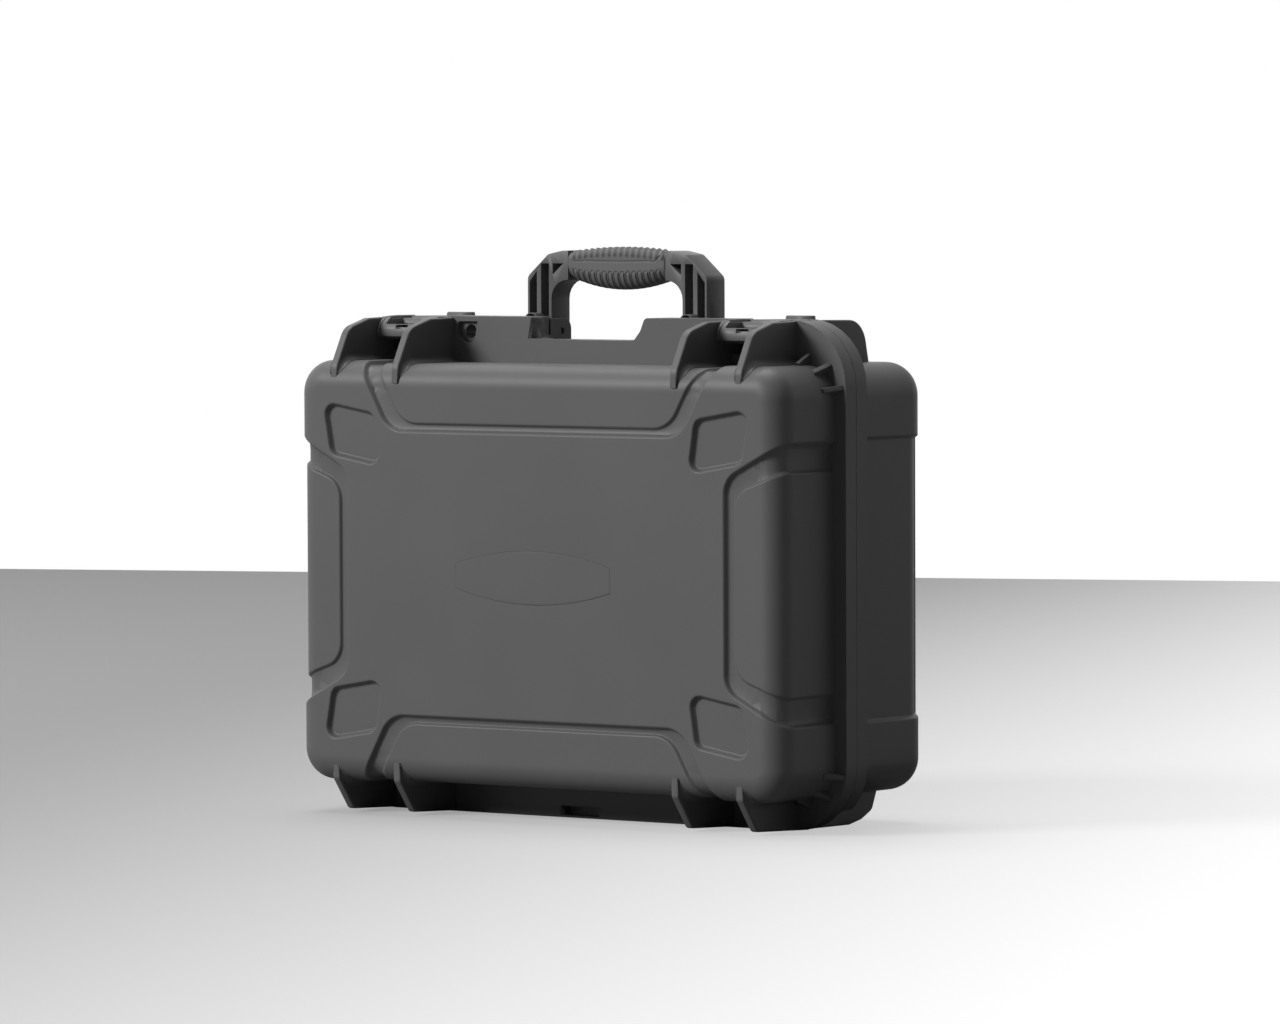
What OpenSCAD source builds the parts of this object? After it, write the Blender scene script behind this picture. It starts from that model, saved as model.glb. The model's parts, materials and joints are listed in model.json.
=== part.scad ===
// Moulded hard case for a laptop, standing on its hinge side, handle raised.
// Lid towards -Y, base towards +Y, +Z up, the case stands on Z = 0.

/* [Case] */
// Overall width across the rims
case_w = 460; // [430:1:500]
// Height from the standing edge to the top of the rims
case_h = 366; // [350:1:400]
// Depth of the lid, face to parting line
lid_d = 81; // [70:1:110]
// Depth of the base, parting line to back
base_d = 103; // [95:1:140]
// Gap between the two rims when shut
seam = 0.4; // [0.2:0.1:1]
// How far the moulded sides stand inside the rims
side_step = 9; // [8:0.5:14]
// How far the rims rise above the body on the latch side
top_step = 32; // [31:0.5:38]
// How far the rims drop below the body on the hinge side
foot_step = 24; // [23:0.5:30]
// Body corner radius seen from the front
corner_r = 24; // [21:1:36]
// Rounding round the lid face
lid_edge_r = 18; // [12:1:20]
// Rounding round the base back
base_edge_r = 20; // [12:1:20]
// Thinnest wall, under a groove
wall = 2.8; // [2:0.1:4]

/* [Rims] */
// Thickness of each rim along Y
rim_t = 13; // [11:0.5:16]
// Rim corner radius
rim_r = 48; // [42:1:52]
// Half width of the handle notch at its floor
notch_half = 41.5; // [36:0.5:44]
// How far the notch walls lean out
notch_lean = 10; // [8:0.5:12]
// Depth of the handle notch
notch_depth = 16.5; // [10:0.5:20]
// Width of the seal groove
seal_w = 6; // [5:0.5:7]
// Depth of the seal groove
seal_depth = 5; // [4:0.5:6]

/* [Face] */
// Step down from the corners to the edge panels
panel_step = 1.8; // [1:0.1:2.2]
// Step down from the corners to the groove floor
groove_step = 3.6; // [2.6:0.1:4]
// Width of the grooves along the long runs
groove_w = 6; // [4:0.5:8]
// Distance of the top and bottom panels from mid height
panel_z = 110; // [100:1:120]
// Distance of the left and right panels from mid width
panel_x = 180; // [174:1:186]
// Depth of the four corner recesses
recess_depth = 4; // [2:0.5:5]
// Length of the blank name plate
plate_w = 141; // [100:1:160]
// Height of the name plate at its middle
plate_h = 38.8; // [30:0.2:50]
// Height of the name plate at its ends
plate_end_h = 18; // [10:0.5:28]
// Thickness of the name plate
plate_t = 1; // [0.6:0.1:2]
// How far the base feet stand out
foot_h = 3.5; // [2:0.5:4]

/* [Fins] */
// Distance of the outer fins from the side of the rims
fin_side = 45.7; // [44:0.1:52]
// Distance between the two fins of a pair
fin_pair = 57.3; // [54:0.1:60]
// Fin thickness
fin_t = 6.5; // [5:0.5:8]
// Height of the straight front edge of the lid fins
fin_front = 12; // [6:0.5:16]
// Length of the base fins behind the rim
fin_len = 56; // [50:1:62]

/* [Latches] */
// Latch pivot, in front of the parting line
latch_y = 21; // [19:0.5:24]
// Latch pivot, below the rim top
latch_drop = 12.9; // [12.5:0.1:15]
// Radius of the latch nose
nose_r = 12.4; // [11:0.1:12.5]
// Rim height in the latch bays, below the rim top
bay_drop = 25; // [24.5:0.5:26]
// Radius of the latch pins
pin_r = 2; // [1.5:0.1:2.5]
// Running gap of every pin in its hole
run_gap = 0.05; // [0.02:0.01:0.09]
// Side gap of moving pieces
side_gap = 0.5; // [0.3:0.1:0.8]
// Second pivot, behind the parting line
lever_y = 18; // [17.5:0.5:20]
// Second pivot, below the rim top
lever_drop = 8; // [7.5:0.5:9]

/* [Hinge] */
// Height of the hinge axis
hinge_z = 7; // [6.8:0.1:8]
// Radius of the hinge knuckles
knuckle_r = 6.5; // [5.5:0.1:6.6]
// Radius of the hinge pins
hinge_pin_r = 2.5; // [2:0.1:3]

/* [Handle] */
// Width over the handle
handle_w = 164; // [150:1:170]
// Handle height above the rims
handle_rise = 51; // [46:1:60]
// Handle thickness along Y
handle_t = 22; // [18:0.5:24]
// Width of each handle leg
leg_w = 22; // [18:0.5:24]
// Gap between the rim and the front of the handle
handle_gap = 8.7; // [7.5:0.1:10]
// Pivot, behind the front of the handle
pivot_in = 7.3; // [6.5:0.1:8]
// Pivot, above the body
pivot_up = 17.5; // [17:0.5:20]
// Thickness of the ears that hold the handle
ear_t = 5; // [4:0.5:7]
// Radius of the handle pins
handle_pin_r = 3; // [2:0.1:3.5]
// Length of the soft grip
grip_w = 89; // [80:1:92]
// Number of finger ridges
ridges = 15; // [9:2:17]
// Pitch of the finger ridges
ridge_pitch = 5.4; // [4.6:0.1:5.6]

/* [Inside] */
// Depth of the laptop pocket
pocket_depth = 34; // [25:1:36]
// Foam left round the laptop pocket
foam_wall = 12.6; // [8:0.1:30]
// Thickness of the loose pad at the back
pad_t = 20; // [10:1:22]
// Height of the lid foam peaks
peak_h = 26; // [10:1:30]
// Spacing of the lid foam peaks
peak_pitch = 33; // [28:1:50]

/* [Hidden] */
$fn = 64;
plastic = [0.30, 0.30, 0.31];
rubber = [0.12, 0.12, 0.12];
foam = [0.10, 0.10, 0.11];
steel = [0.70, 0.71, 0.72];
eps = 0.01;
gap = 0.3;
foam_gap = 0.2;
press_gap = 0.01;
lip_w = 2.4;
recess_in = 2.9;

body_w = case_w - 2 * side_step;
body_h = case_h - top_step - foot_step;
mid_z = foot_step + body_h / 2;
face_y = -(lid_d + base_d + foot_h) / 2;
part_y = face_y + lid_d;
back_y = part_y + base_d;
lid_rim_y = part_y - rim_t;
base_rim_y = part_y + rim_t;
body_top = foot_step + body_h;
inner = groove_step + wall;
fin_out = case_w / 2 - fin_side;
fin_in = fin_out - fin_pair;
recess_x = body_w / 2 - 27;
recess_z = body_h / 2 - 30;
web_x = body_w / 2 - corner_r;
web_z = body_h / 2 - corner_r;

bay_z = case_h - bay_drop;
notch_z = case_h - notch_depth;
bay_mid = (fin_in + fin_out) / 2;
bay_half = (fin_out - fin_in - fin_t) / 2;
bay_cut = bay_half + 0.6;
latch_half = bay_half - side_gap;
link_py = part_y - latch_y;
link_pz = case_h - latch_drop;
lever_py = part_y + lever_y;
lever_pz = case_h - lever_drop;
eye_r = 5.5;
nose_top = link_pz + nose_r;
catch_z = lever_pz - 13;
hook_lean = 1.2;
hook_z = catch_z + 3 - 0.55;
link_half = latch_half / 2;
socket = 2.5;
pin_half = bay_half + socket - gap;
relief_z = hinge_z + knuckle_r + 1.5;
base_knuckle_half = bay_half * 0.54;
knuckle_gap = base_knuckle_half + side_gap;

lock_x = fin_in - 16;
lock_z = case_h - 11;
lock_r = 5;

handle_y = base_rim_y + handle_gap;
handle_py = handle_y + pivot_in;
handle_pz = body_top + pivot_up;
handle_top = case_h + handle_rise;
leg_in = handle_w / 2 - leg_w;
leg_mid = handle_w / 2 - leg_w / 2;
core_t = handle_t - 8;
ear_in = leg_in - side_gap - ear_t;
ear_out = handle_w / 2 + side_gap;

foam_y0 = face_y + inner;
foam_y1 = part_y + 3;
foam_y2 = foam_y1 + pocket_depth;
foam_y3 = back_y - inner;
slab_y = part_y - 2 - peak_h;
peaks_x = floor((body_w - 2 * inner) / peak_pitch / 2 - 0.5);
peaks_z = floor((body_h - 2 * inner) / peak_pitch / 2 - 0.5);

// Polygon points with each corner rounded to its third value.
function unit(v) = v / norm(v);
function turn(a) = ((a + 900) % 360) - 180;
function xy(p) = [p[0], p[1]];
function soft(p, n = 6) = [for (i = [0:len(p) - 1])
  let (a = xy(p[(i + len(p) - 1) % len(p)]), b = xy(p[i]), c = xy(p[(i + 1) % len(p)]), r = p[i][2])
  each (r <= 0 ? [b] :
    let (u = unit(a - b), v = unit(c - b), h = acos(u * v) / 2, o = b + unit(u + v) * r / sin(h),
      s = b + u * r / tan(h) - o, e = b + v * r / tan(h) - o,
      a0 = atan2(s[1], s[0]), d = turn(atan2(e[1], e[0]) - a0))
    [for (k = [0:n]) o + r * [cos(a0 + d * k / n), sin(a0 + d * k / n)]])];
function flip(p) = [for (i = [len(p) - 1:-1:0]) [-p[i][0], p[i][1], p[i][2]]];

module along_x(x0, x1) translate([x0, 0, 0]) rotate([90, 0, 90]) linear_extrude(x1 - x0) children();
module along_y(y0, y1) translate([0, y1, 0]) rotate([90, 0, 0]) linear_extrude(y1 - y0) children();
module rod_x(x0, x1, y, z, r) along_x(x0, x1) translate([y, z]) circle(r);
module both() { children(); mirror([1, 0, 0]) children(); }
module bays() both() translate([bay_mid, 0, 0]) children();

// Rounded box open at the far end, inset by d all round.
module edge_cut(e) difference() {
  translate([0, -1]) square([e + 1, e + 1]);
  translate([0, e]) circle(e);
}

module revolve_half(c, e, depth) difference() {
  square([c, depth]);
  translate([c - e, 0]) edge_cut(e);
}

module side_half(h, e, depth) difference() {
  translate([0, -h]) square([depth, 2 * h]);
  for (s = [0, 1]) mirror([0, s]) translate([0, h - e]) mirror([1, -1]) edge_cut(e);
}

module tub(d, depth, edge) {
  w = body_w / 2 - d;
  h = body_h / 2 - d;
  c = corner_r - d;
  e = edge - d;
  translate([0, d, 0]) {
    along_x(c - w, w - c) side_half(h, e, depth - d);
    rotate([0, 90, 0]) along_x(c - h, h - c) side_half(w, e, depth - d);
    for (sx = [-1, 1], sz = [-1, 1]) translate([sx * (w - c), 0, sz * (h - c)])
      rotate([-90, 0, 0]) rotate_extrude() revolve_half(c, e, depth - d);
  }
}

module lid_tub(d, extra = 0) translate([0, face_y, mid_z])
  tub(d, lid_d + extra, lid_edge_r);
module base_tub(d, extra = 0) translate([0, back_y, mid_z]) rotate([180, 0, 0])
  tub(d, base_d + extra, base_edge_r);

// Edge panels: outline of the raised side (g = 0) or of the panel itself (g = groove width).
module top_panel(g) {
  z = panel_z - groove_w + g;
  x = fin_in + 6 - g * 1.9;
  top = body_h / 2 + 30;
  lean = (top - z) * 0.56;
  polygon(soft([[-x, z, 23], [x, z, 23], [x + lean, top, 0], [-x - lean, top, 0]]));
}

module side_panel(g) {
  x = panel_x + (g - groove_w) * 1.33;
  z0 = body_h / 2 - 80 - g * 1.6;
  z1 = body_h / 2 - 54 - g * 3;
  polygon(soft([[x, -z0, 18], [x, z0, 18], [x + 50, z1, 0],
    [x + 90, z1, 0], [x + 90, -z1, 0], [x + 50, -z1, 0]]));
}

module all_panels(g) {
  for (s = [0, 1]) mirror([0, s]) top_panel(g);
  for (s = [0, 1]) mirror([s, 0]) side_panel(g);
}

// Corner recess, a diamond that points to the case corner.
function recess(o) = soft([[recess_x - 48 - o, recess_z - 8 + o, 8], [recess_x + o, recess_z + o, 8],
  [recess_x - 7 + o, recess_z - 39 - o, 8], [recess_x - 54 - o, recess_z - 47 - o, 8]], 4);

module corner_pads(o) for (sx = [-1, 1], sz = [-1, 1]) quadrant(sx, sz) polygon(recess(o));
module quadrant(sx, sz) mirror([sx < 0 ? 1 : 0, 0]) mirror([0, sz < 0 ? 1 : 0]) children();

// Blank plate, taller in the middle.
function plate_edge(t) = plate_end_h / 2 + (plate_h - plate_end_h) / 2 * (1 - t * t);
module plate_outline(o) polygon(concat(
  [for (k = [-8:8]) [k / 8 * (plate_w / 2 + o), plate_edge(k / 8) + o]],
  [for (k = [8:-1:-8]) [k / 8 * (plate_w / 2 + o), -plate_edge(k / 8) - o]]));

// Rim outline above z = low, with the handle notch and the lowered latch bays.
module rim_outline(low, notch) {
  half = concat([[case_w / 2, low, low > 0 ? 0 : rim_r], [case_w / 2, case_h, rim_r],
    [bay_mid + bay_cut, case_h, 0], [bay_mid + bay_cut, bay_z, 0],
    [bay_mid - bay_cut, bay_z, 0], [bay_mid - bay_cut, case_h, 0]], notch);
  intersection() {
    polygon(soft(concat(half, flip(half)), 8));
    polygon(soft([[case_w / 2, 0, rim_r], [case_w / 2, case_h + 1, 0],
      [-case_w / 2, case_h + 1, 0], [-case_w / 2, 0, rim_r]], 8));
  }
}
// The notch is curved in the lid, and square in the base, up to the ears.
lid_notch = [[notch_half + notch_lean, case_h, 4], [notch_half + notch_lean - 4, notch_z + 7, 6],
  [notch_half, notch_z, 4]];
base_notch = [[ear_in, case_h, 1], [ear_in, notch_z, 3]];

module seal_path(w) difference() {
  ring(w / 2);
  ring(-w / 2);
}

module ring(o) translate([0, mid_z]) polygon(soft([
  for (p = [[1, 1], [-1, 1], [-1, -1], [1, -1]])
    [p[0] * (body_w / 2 + o), p[1] * (body_h / 2 + o), corner_r + o]], 10));

module fins(x0) both() for (x = [fin_in, fin_out]) along_x(x - fin_t / 2, x + fin_t / 2) children();

module lid_fins() {
  fins() polygon(soft([[face_y + 1, body_top - lid_edge_r + 2, 0],
    [face_y + 1, body_top - lid_edge_r + 2 + fin_front, 12], [face_y + 16, case_h - 8, 14],
    [face_y + 40, case_h - 1.5, 0], [part_y - seam / 2, case_h, 0],
    [part_y - seam / 2, body_top - inner / 2, 0], [face_y + 14, body_top - inner / 2, 0]]));
  fins() polygon(soft([[face_y + 1, foot_step + lid_edge_r - 2, 0],
    [face_y + 1, foot_step + 2, 4], [face_y + 18.5, 2.5, 5], [part_y - seam / 2, 0, 0],
    [part_y - seam / 2, foot_step + inner / 2, 0], [face_y + 14, foot_step + inner / 2, 0]]));
}

module base_fins() {
  fins() polygon(soft([[part_y + seam / 2, body_top - inner / 2, 0], [part_y + seam / 2, case_h, 0],
    [base_rim_y + fin_len, case_h - 1.5, 20], [base_rim_y + fin_len + 8, body_top - inner / 2, 0]]));
  fins() polygon(soft([[base_rim_y, relief_z, 0], [base_rim_y, 0, 0],
    [base_rim_y + fin_len - 18, 0, 0], [base_rim_y + fin_len - 3, 3, 8],
    [base_rim_y + fin_len + 10, 9, 6], [base_rim_y + fin_len + 18, foot_step + inner / 2, 0],
    [base_rim_y, foot_step + inner / 2, 0]]));
}

// Small webs between the rim and the body at the four corners.
module corner_webs() for (sx = [-1, 1], sz = [-1, 1], a = [15, 52, 88])
  translate([sx * web_x, 0, mid_z + sz * web_z])
  rotate([0, sx > 0 ? -sz * a : 180 + sz * a, 0]) along_z(1.8)
  polygon([[corner_r - 3, lid_rim_y - 15], [corner_r + 1.5, lid_rim_y - 15],
    [corner_r + 8, lid_rim_y - 1], [corner_r + 8, lid_rim_y + 1], [corner_r - 3, lid_rim_y + 1]]);
module along_z(h) translate([0, 0, -h]) linear_extrude(2 * h) children();

// Padlock holes through both rims, in line.
module lock_holes() both() translate([lock_x, part_y, lock_z]) rotate([90, 0, 0])
  cylinder(h = 3 * rim_t, r = lock_r, center = true);
module lock_pockets() both() along_y(lid_rim_y - 1, lid_rim_y + 4) translate([lock_x, lock_z])
  polygon(soft([[-9, 7.3, 0], [9.3, 7.3, 1.5], [9.3, -8.5, 8.9], [-6, -8.5, 7]]));

module lid_knuckles() bays() for (s = [0, 1]) mirror([s, 0, 0])
  rod_x(knuckle_gap, bay_half + eps, part_y, hinge_z, knuckle_r);

module lid_shell() color(plastic) difference() {
  union() {
    difference() {
      lid_tub(0, -seam / 2);
      difference() {
        along_y(face_y - 1, lid_rim_y) translate([0, mid_z]) all_panels(0);
        lid_tub(panel_step, 1);
      }
      difference() {
        along_y(face_y - 1, lid_rim_y) translate([0, mid_z]) difference() {
          all_panels(0);
          all_panels(groove_w);
        }
        lid_tub(groove_step, 1);
      }
    }
    along_y(lid_rim_y, part_y - seam / 2) rim_outline(0, lid_notch);
    along_y(part_y - seam, part_y + 1) seal_path(lip_w);
    lid_fins();
    corner_webs();
    lid_knuckles();
  }
  lid_tub(inner, 5);
  along_y(face_y - 1, face_y + recess_depth) translate([0, mid_z]) corner_pads(0);
  along_y(face_y - 1, face_y + plate_t) translate([0, mid_z]) plate_outline(0.2);
  lock_holes();
  lock_pockets();
  along_y(lid_rim_y - 1, lid_rim_y + rim_t - 4) translate([-27, 1.5]) square([35, 7]);
  bays() {
    rod_x(-knuckle_gap, knuckle_gap, part_y, hinge_z, knuckle_r + side_gap);
    along_x(-knuckle_gap, knuckle_gap) translate([part_y - knuckle_r - 4, -1])
      square([knuckle_r + 5, hinge_z + 1]);
    rod_x(-pin_half - gap, pin_half + gap, part_y, hinge_z, hinge_pin_r + press_gap);
    rod_x(-pin_half - gap, pin_half + gap, link_py, link_pz, pin_r + press_gap);
  }
}

module catch_bars() bays() {
  along_x(6 - latch_half, latch_half - 6) polygon([[base_rim_y - 8, bay_z - 3],
    [base_rim_y - 8, catch_z + 4.5], [lever_py, catch_z + 4.5], [lever_py, catch_z + 3],
    [base_rim_y, catch_z + 3 - hook_lean * (lever_py - base_rim_y)], [base_rim_y, bay_z - 3]]);
}

module handle_ears() both() {
  for (x = [ear_in, ear_out]) along_x(x, x + ear_t)
    polygon(soft([[base_rim_y - 2, body_top - inner / 2, 0],
      [base_rim_y - 2, case_h - 1.5, 2], [handle_py + 9.5, case_h - 1.8, 8],
      [handle_py + 9.5, body_top - inner / 2, 0]]));
  along_y(base_rim_y - 2, handle_y - gap) translate([leg_mid, 0]) polygon(soft([
    [-6, body_top - 2, 0], [6, body_top - 2, 0], [6, case_h + 2.5, 5.6], [-6, case_h + 2.5, 5.6]]));
}

module ear_slots() both() along_x(ear_in - 1, ear_in + 2)
  translate([handle_py - 2.7, handle_pz + 1.2]) square([3, 4.4]);

module base_knuckles() bays() {
  rod_x(-base_knuckle_half, base_knuckle_half, part_y, hinge_z, knuckle_r);
  along_x(-base_knuckle_half, base_knuckle_half) polygon([[part_y + seam, hinge_z - knuckle_r + 0.2],
    [part_y + 5, hinge_z - knuckle_r + 1.4], [base_rim_y + 1, relief_z - 6],
    [base_rim_y + 1, foot_step + inner / 2], [part_y + seam, foot_step + inner / 2]]);
}

module base_side_recess() both() along_y(base_rim_y, back_y + 1) translate([0, mid_z])
  polygon([[body_w / 2 - 9, -100], [body_w / 2 - 9, 100],
    [body_w / 2 + 1, 102.5], [body_w / 2 + 1, -102.5]]);

module base_shell() color(plastic) difference() {
  union() {
    difference() {
      base_tub(0, -seam / 2);
      difference() {
        base_side_recess();
        base_tub(recess_in, 1);
      }
    }
    along_y(part_y + seam / 2, base_rim_y) rim_outline(relief_z, base_notch);
    along_y(back_y - 1, back_y + foot_h) translate([0, mid_z]) corner_pads(-1.5);
    base_fins();
    catch_bars();
    handle_ears();
    base_knuckles();
  }
  base_tub(inner, 5);
  along_y(part_y - 1, part_y + seal_depth) seal_path(seal_w);
  lock_holes();
  bays() for (s = [0, 1]) mirror([s, 0, 0])
    rod_x(base_knuckle_half - eps, bay_half, part_y, hinge_z, knuckle_r + side_gap);
  bays() rod_x(-base_knuckle_half - 1, base_knuckle_half + 1, part_y, hinge_z, hinge_pin_r + run_gap);
  both() rod_x(ear_in + 2, ear_out + ear_t + 1, handle_py, handle_pz, handle_pin_r + press_gap);
  ear_slots();
}

module seal_ring() color(rubber) along_y(part_y + 1.1, part_y + seal_depth) seal_path(seal_w - 0.4);

module name_plate() color(plastic) along_y(face_y, face_y + plate_t)
  translate([0, mid_z]) plate_outline(0);

// Cavity outlines for the foam.
module foam_outline() translate([0, mid_z]) polygon(soft([
  for (p = [[1, 1], [-1, 1], [-1, -1], [1, -1]])
    [p[0] * (body_w / 2 - inner - foam_gap), p[1] * (body_h / 2 - inner - foam_gap),
      corner_r - inner]], 5));

module lid_foam() color(foam) difference() {
  union() {
    intersection() {
      lid_tub(inner + foam_gap, -3);
      along_y(foam_y0, slab_y) foam_outline();
    }
    for (i = [-peaks_x:peaks_x], k = [-peaks_z:peaks_z])
      translate([i * peak_pitch, slab_y - eps, mid_z + k * peak_pitch]) rotate([-90, 0, 0])
      cylinder(h = peak_h, r1 = peak_pitch / 2 - 1, r2 = 5, $fn = 10);
  }
}

module laptop_foam() color(foam) along_y(foam_y1, foam_y2) difference() {
  foam_outline();
  translate([0, mid_z]) polygon(soft([for (p = [[1, 1], [-1, 1], [-1, -1], [1, -1]])
    [p[0] * (body_w / 2 - inner - foam_wall), p[1] * (body_h / 2 - inner - foam_wall), 8]], 4));
}

module accessory_foam() color(foam) along_y(foam_y2, foam_y3 - pad_t) difference() {
  foam_outline();
  for (s = [-1, 1]) translate([s * 100 - 80, mid_z - 65]) square([160, 130]);
}

module back_pad() color(foam) intersection() {
  base_tub(inner + foam_gap, -3);
  along_y(foam_y3 - pad_t, foam_y3) foam_outline();
}

module hinge_pin(s) color(steel) translate([s * bay_mid, 0, 0])
  rod_x(-pin_half, pin_half, part_y, hinge_z, hinge_pin_r);
module hinge_pin_left() hinge_pin(-1);
module hinge_pin_right() hinge_pin(1);

module link_pin(s) color(steel) translate([s * bay_mid, 0, 0])
  rod_x(-pin_half, pin_half, link_py, link_pz, pin_r);
module link_pin_left() link_pin(-1);
module link_pin_right() link_pin(1);

module lever_pin(s) color(steel) translate([s * bay_mid, 0, 0])
  rod_x(1 - latch_half, latch_half - 1, lever_py, lever_pz, pin_r);
module lever_pin_left() lever_pin(-1);
module lever_pin_right() lever_pin(1);

// Hood over the first pin, arm to the second pin.
module link_body() difference() {
  union() {
    intersection() {
      rod_x(-latch_half, latch_half, link_py, link_pz, nose_r);
      along_x(-latch_half, latch_half) translate([link_py - nose_r, link_pz - 2])
        square([2 * nose_r, nose_r + 2]);
    }
    rod_x(-latch_half, latch_half, link_py, link_pz, pin_r + 2.6);
    along_x(-latch_half, latch_half) polygon([[link_py, nose_top],
      [lever_py - 7, case_h - 0.5], [lever_py - 7, lever_pz + 0.5],
      [link_py + 6, lever_pz - 3], [link_py, link_pz]]);
    rod_x(-link_half, link_half, lever_py, lever_pz, eye_r);
    along_x(-link_half, link_half) polygon([[lever_py - 8, case_h - 0.6],
      [lever_py, lever_pz + eye_r], [lever_py, lever_pz - eye_r], [lever_py - 8, lever_pz - 2]]);
  }
  // hollow under the hood, between the two cheeks
  along_x(7 - latch_half, latch_half - 7) difference() {
    polygon([[link_py - nose_r + 2.5, link_pz - nose_r - 1],
      [link_py - nose_r + 3.5, link_pz - 2], [link_py - 4, nose_top - 5.5],
      [link_py + 10, nose_top - 5.5], [link_py + 14, link_pz - nose_r - 1]]);
    translate([link_py, link_pz]) circle(pin_r + 2.6);
  }
  // recessed top and its slot
  along_x(4 - latch_half, latch_half - 10) polygon([[link_py - 5.5, case_h + 1],
    [link_py - 3, nose_top - 1.6], [lever_py - 16, case_h - 2], [lever_py - 16, case_h + 1]]);
  along_x(-8, 3) polygon([[link_py - 7.5, case_h], [link_py - 7.5, link_pz + 7.5],
    [link_py - 3, link_pz + 7.5], [link_py - 3, case_h]]);
  // fine line beside the recess
  along_x(2.2 - latch_half, 3 - latch_half) difference() {
    translate([link_py, link_pz]) circle(nose_r + 1);
    translate([link_py, link_pz]) circle(nose_r - 0.8);
    translate([link_py + 4, 0]) square([40, 2 * case_h]);
  }
  rod_x(-latch_half - 1, latch_half + 1, link_py, link_pz, pin_r + run_gap);
  rod_x(-latch_half - 1, latch_half + 1, lever_py, lever_pz, pin_r + run_gap);
}

// Hook under the catch, finger lip behind.
module lever_body() difference() {
  union() {
    along_x(-latch_half, latch_half) polygon(soft([[lever_py - 3.5, hook_z - 3.5 * hook_lean, 0],
      [lever_py - 3.5, catch_z - 4.6, 0.8], [lever_py + 6, catch_z - 4.6, 3],
      [lever_py + 7, catch_z + 6, 4], [lever_py + 15.5, catch_z + 13, 4],
      [lever_py + 17, case_h + 2, 1.4], [lever_py + 12.5, case_h + 2, 1.4],
      [lever_py + 10.5, lever_pz + 4, 4], [lever_py, lever_pz + eye_r, 0],
      [lever_py + 0.6, catch_z + 7, 0], [lever_py + 0.6, hook_z + 0.6 * hook_lean, 0]], 4));
    for (s = [0, 1]) mirror([s, 0, 0])
      rod_x(link_half + side_gap, latch_half, lever_py, lever_pz, eye_r);
  }
  rod_x(-link_half - side_gap, link_half + side_gap, lever_py, lever_pz, eye_r + side_gap);
  along_x(-link_half - side_gap, link_half + side_gap)
    translate([lever_py - eye_r, lever_pz]) square([eye_r + 9.6, eye_r + 3]);
  rod_x(-latch_half - 1, latch_half + 1, lever_py, lever_pz, pin_r);
}

module latch_link_left() color(plastic) translate([-bay_mid, 0, 0]) link_body();
module latch_link_right() color(plastic) translate([bay_mid, 0, 0]) link_body();
module latch_lever_left() color(plastic) translate([-bay_mid, 0, 0]) lever_body();
module latch_lever_right() color(plastic) translate([bay_mid, 0, 0]) lever_body();

// Handle seen from the front: outer line, opening, pockets.
function handle_half() = [[handle_w / 2, handle_top - 22, 6],
  [handle_w / 2 - 19, handle_top - 5.6, 6], [handle_w / 2 - 32, handle_top - 3, 20]];
module handle_outline() difference() {
  polygon(soft(concat([[handle_w / 2, handle_pz - 7.4, 0]], handle_half(),
    [[0, handle_top - 1.5, 200]], flip(handle_half()), [[-handle_w / 2, handle_pz - 7.4, 0]])));
  polygon(soft([[leg_in, handle_pz - 20, 0], [leg_in, handle_top - 24.5, 14],
    [-leg_in, handle_top - 24.5, 14], [-leg_in, handle_pz - 20, 0]]));
}

module handle_pockets() both() {
  z = handle_pz + 9.5;
  x = handle_w / 2;
  polygon([[x - 1.8, z], [x - 1.8, handle_top - 26], [x - 8.4, handle_top - 18], [x - 8.4, z]]);
  polygon([[x - 12.4, z], [x - 12.4, handle_top - 12.4], [x - 19.6, handle_top - 12.4], [x - 19.6, z]]);
  polygon([[x - 23.2, handle_top - 20.4], [x - 23.2, handle_top - 12.4], [x - 33, handle_top - 12.4]]);
}

module handle_frame() color(plastic) difference() {
  intersection() {
    along_y(handle_y, handle_y + handle_t) handle_outline();
    along_x(-handle_w, handle_w) polygon(soft([[handle_y, handle_pz - 7.3, 7],
      [handle_y, handle_top + 9, 2], [handle_y + handle_t, handle_top + 9, 2],
      [handle_y + handle_t, handle_pz - 7.3, 9]]));
  }
  along_y(handle_y - 1, handle_y + handle_t - 4) handle_pockets();
  difference() {
    along_y(handle_y - 1, handle_y + handle_t + 1)
      translate([-grip_w / 2, handle_top - 40]) square([grip_w, 60]);
    grip_core(0);
  }
  both() rod_x(leg_in - 1, handle_w / 2 + 1, handle_py, handle_pz, handle_pin_r + run_gap);
}

module grip_core(o) along_y(handle_y + 4 - o, handle_y + 4 + core_t + o)
  translate([-grip_w / 2 - 1, handle_top - 21 - o]) square([grip_w + 2, 13 + 2 * o]);

// Soft grip: crowned top, bellied underside, ridges below and slanted ribs on top.
module grip_outline() polygon(concat(
  [for (k = [-10:10]) [k / 10 * grip_w / 2, handle_top - 3.2 * pow(k / 10, 2)]],
  [for (k = [10:-1:-10]) [k / 10 * grip_w / 2, handle_top - 31.2 + 7.8 * pow(k / 10, 2)]]));

module grip_body() intersection() {
  along_y(handle_y - 0.6, handle_y + handle_t + 0.6) grip_outline();
  along_x(-grip_w / 2, grip_w / 2) polygon(soft([[handle_y - 0.6, handle_top - 33, 11],
    [handle_y - 0.6, handle_top + 0.5, 5], [handle_y + handle_t + 0.6, handle_top + 0.5, 5],
    [handle_y + handle_t + 0.6, handle_top - 33, 11]]));
}

// One finger ridge, t from -1 to 1 along the grip.
module grip_ridge(t) translate([t * (ridges - 1) / 2 * ridge_pitch, 0, 5.4 * t * t])
  along_x(-1.5, 1.5) polygon(soft([[handle_y - 1.4, handle_top - 31.9, 11],
    [handle_y - 1.4, handle_top - 18, 1], [handle_y + handle_t + 1.4, handle_top - 18, 1],
    [handle_y + handle_t + 1.4, handle_top - 31.9, 11]]));

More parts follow.
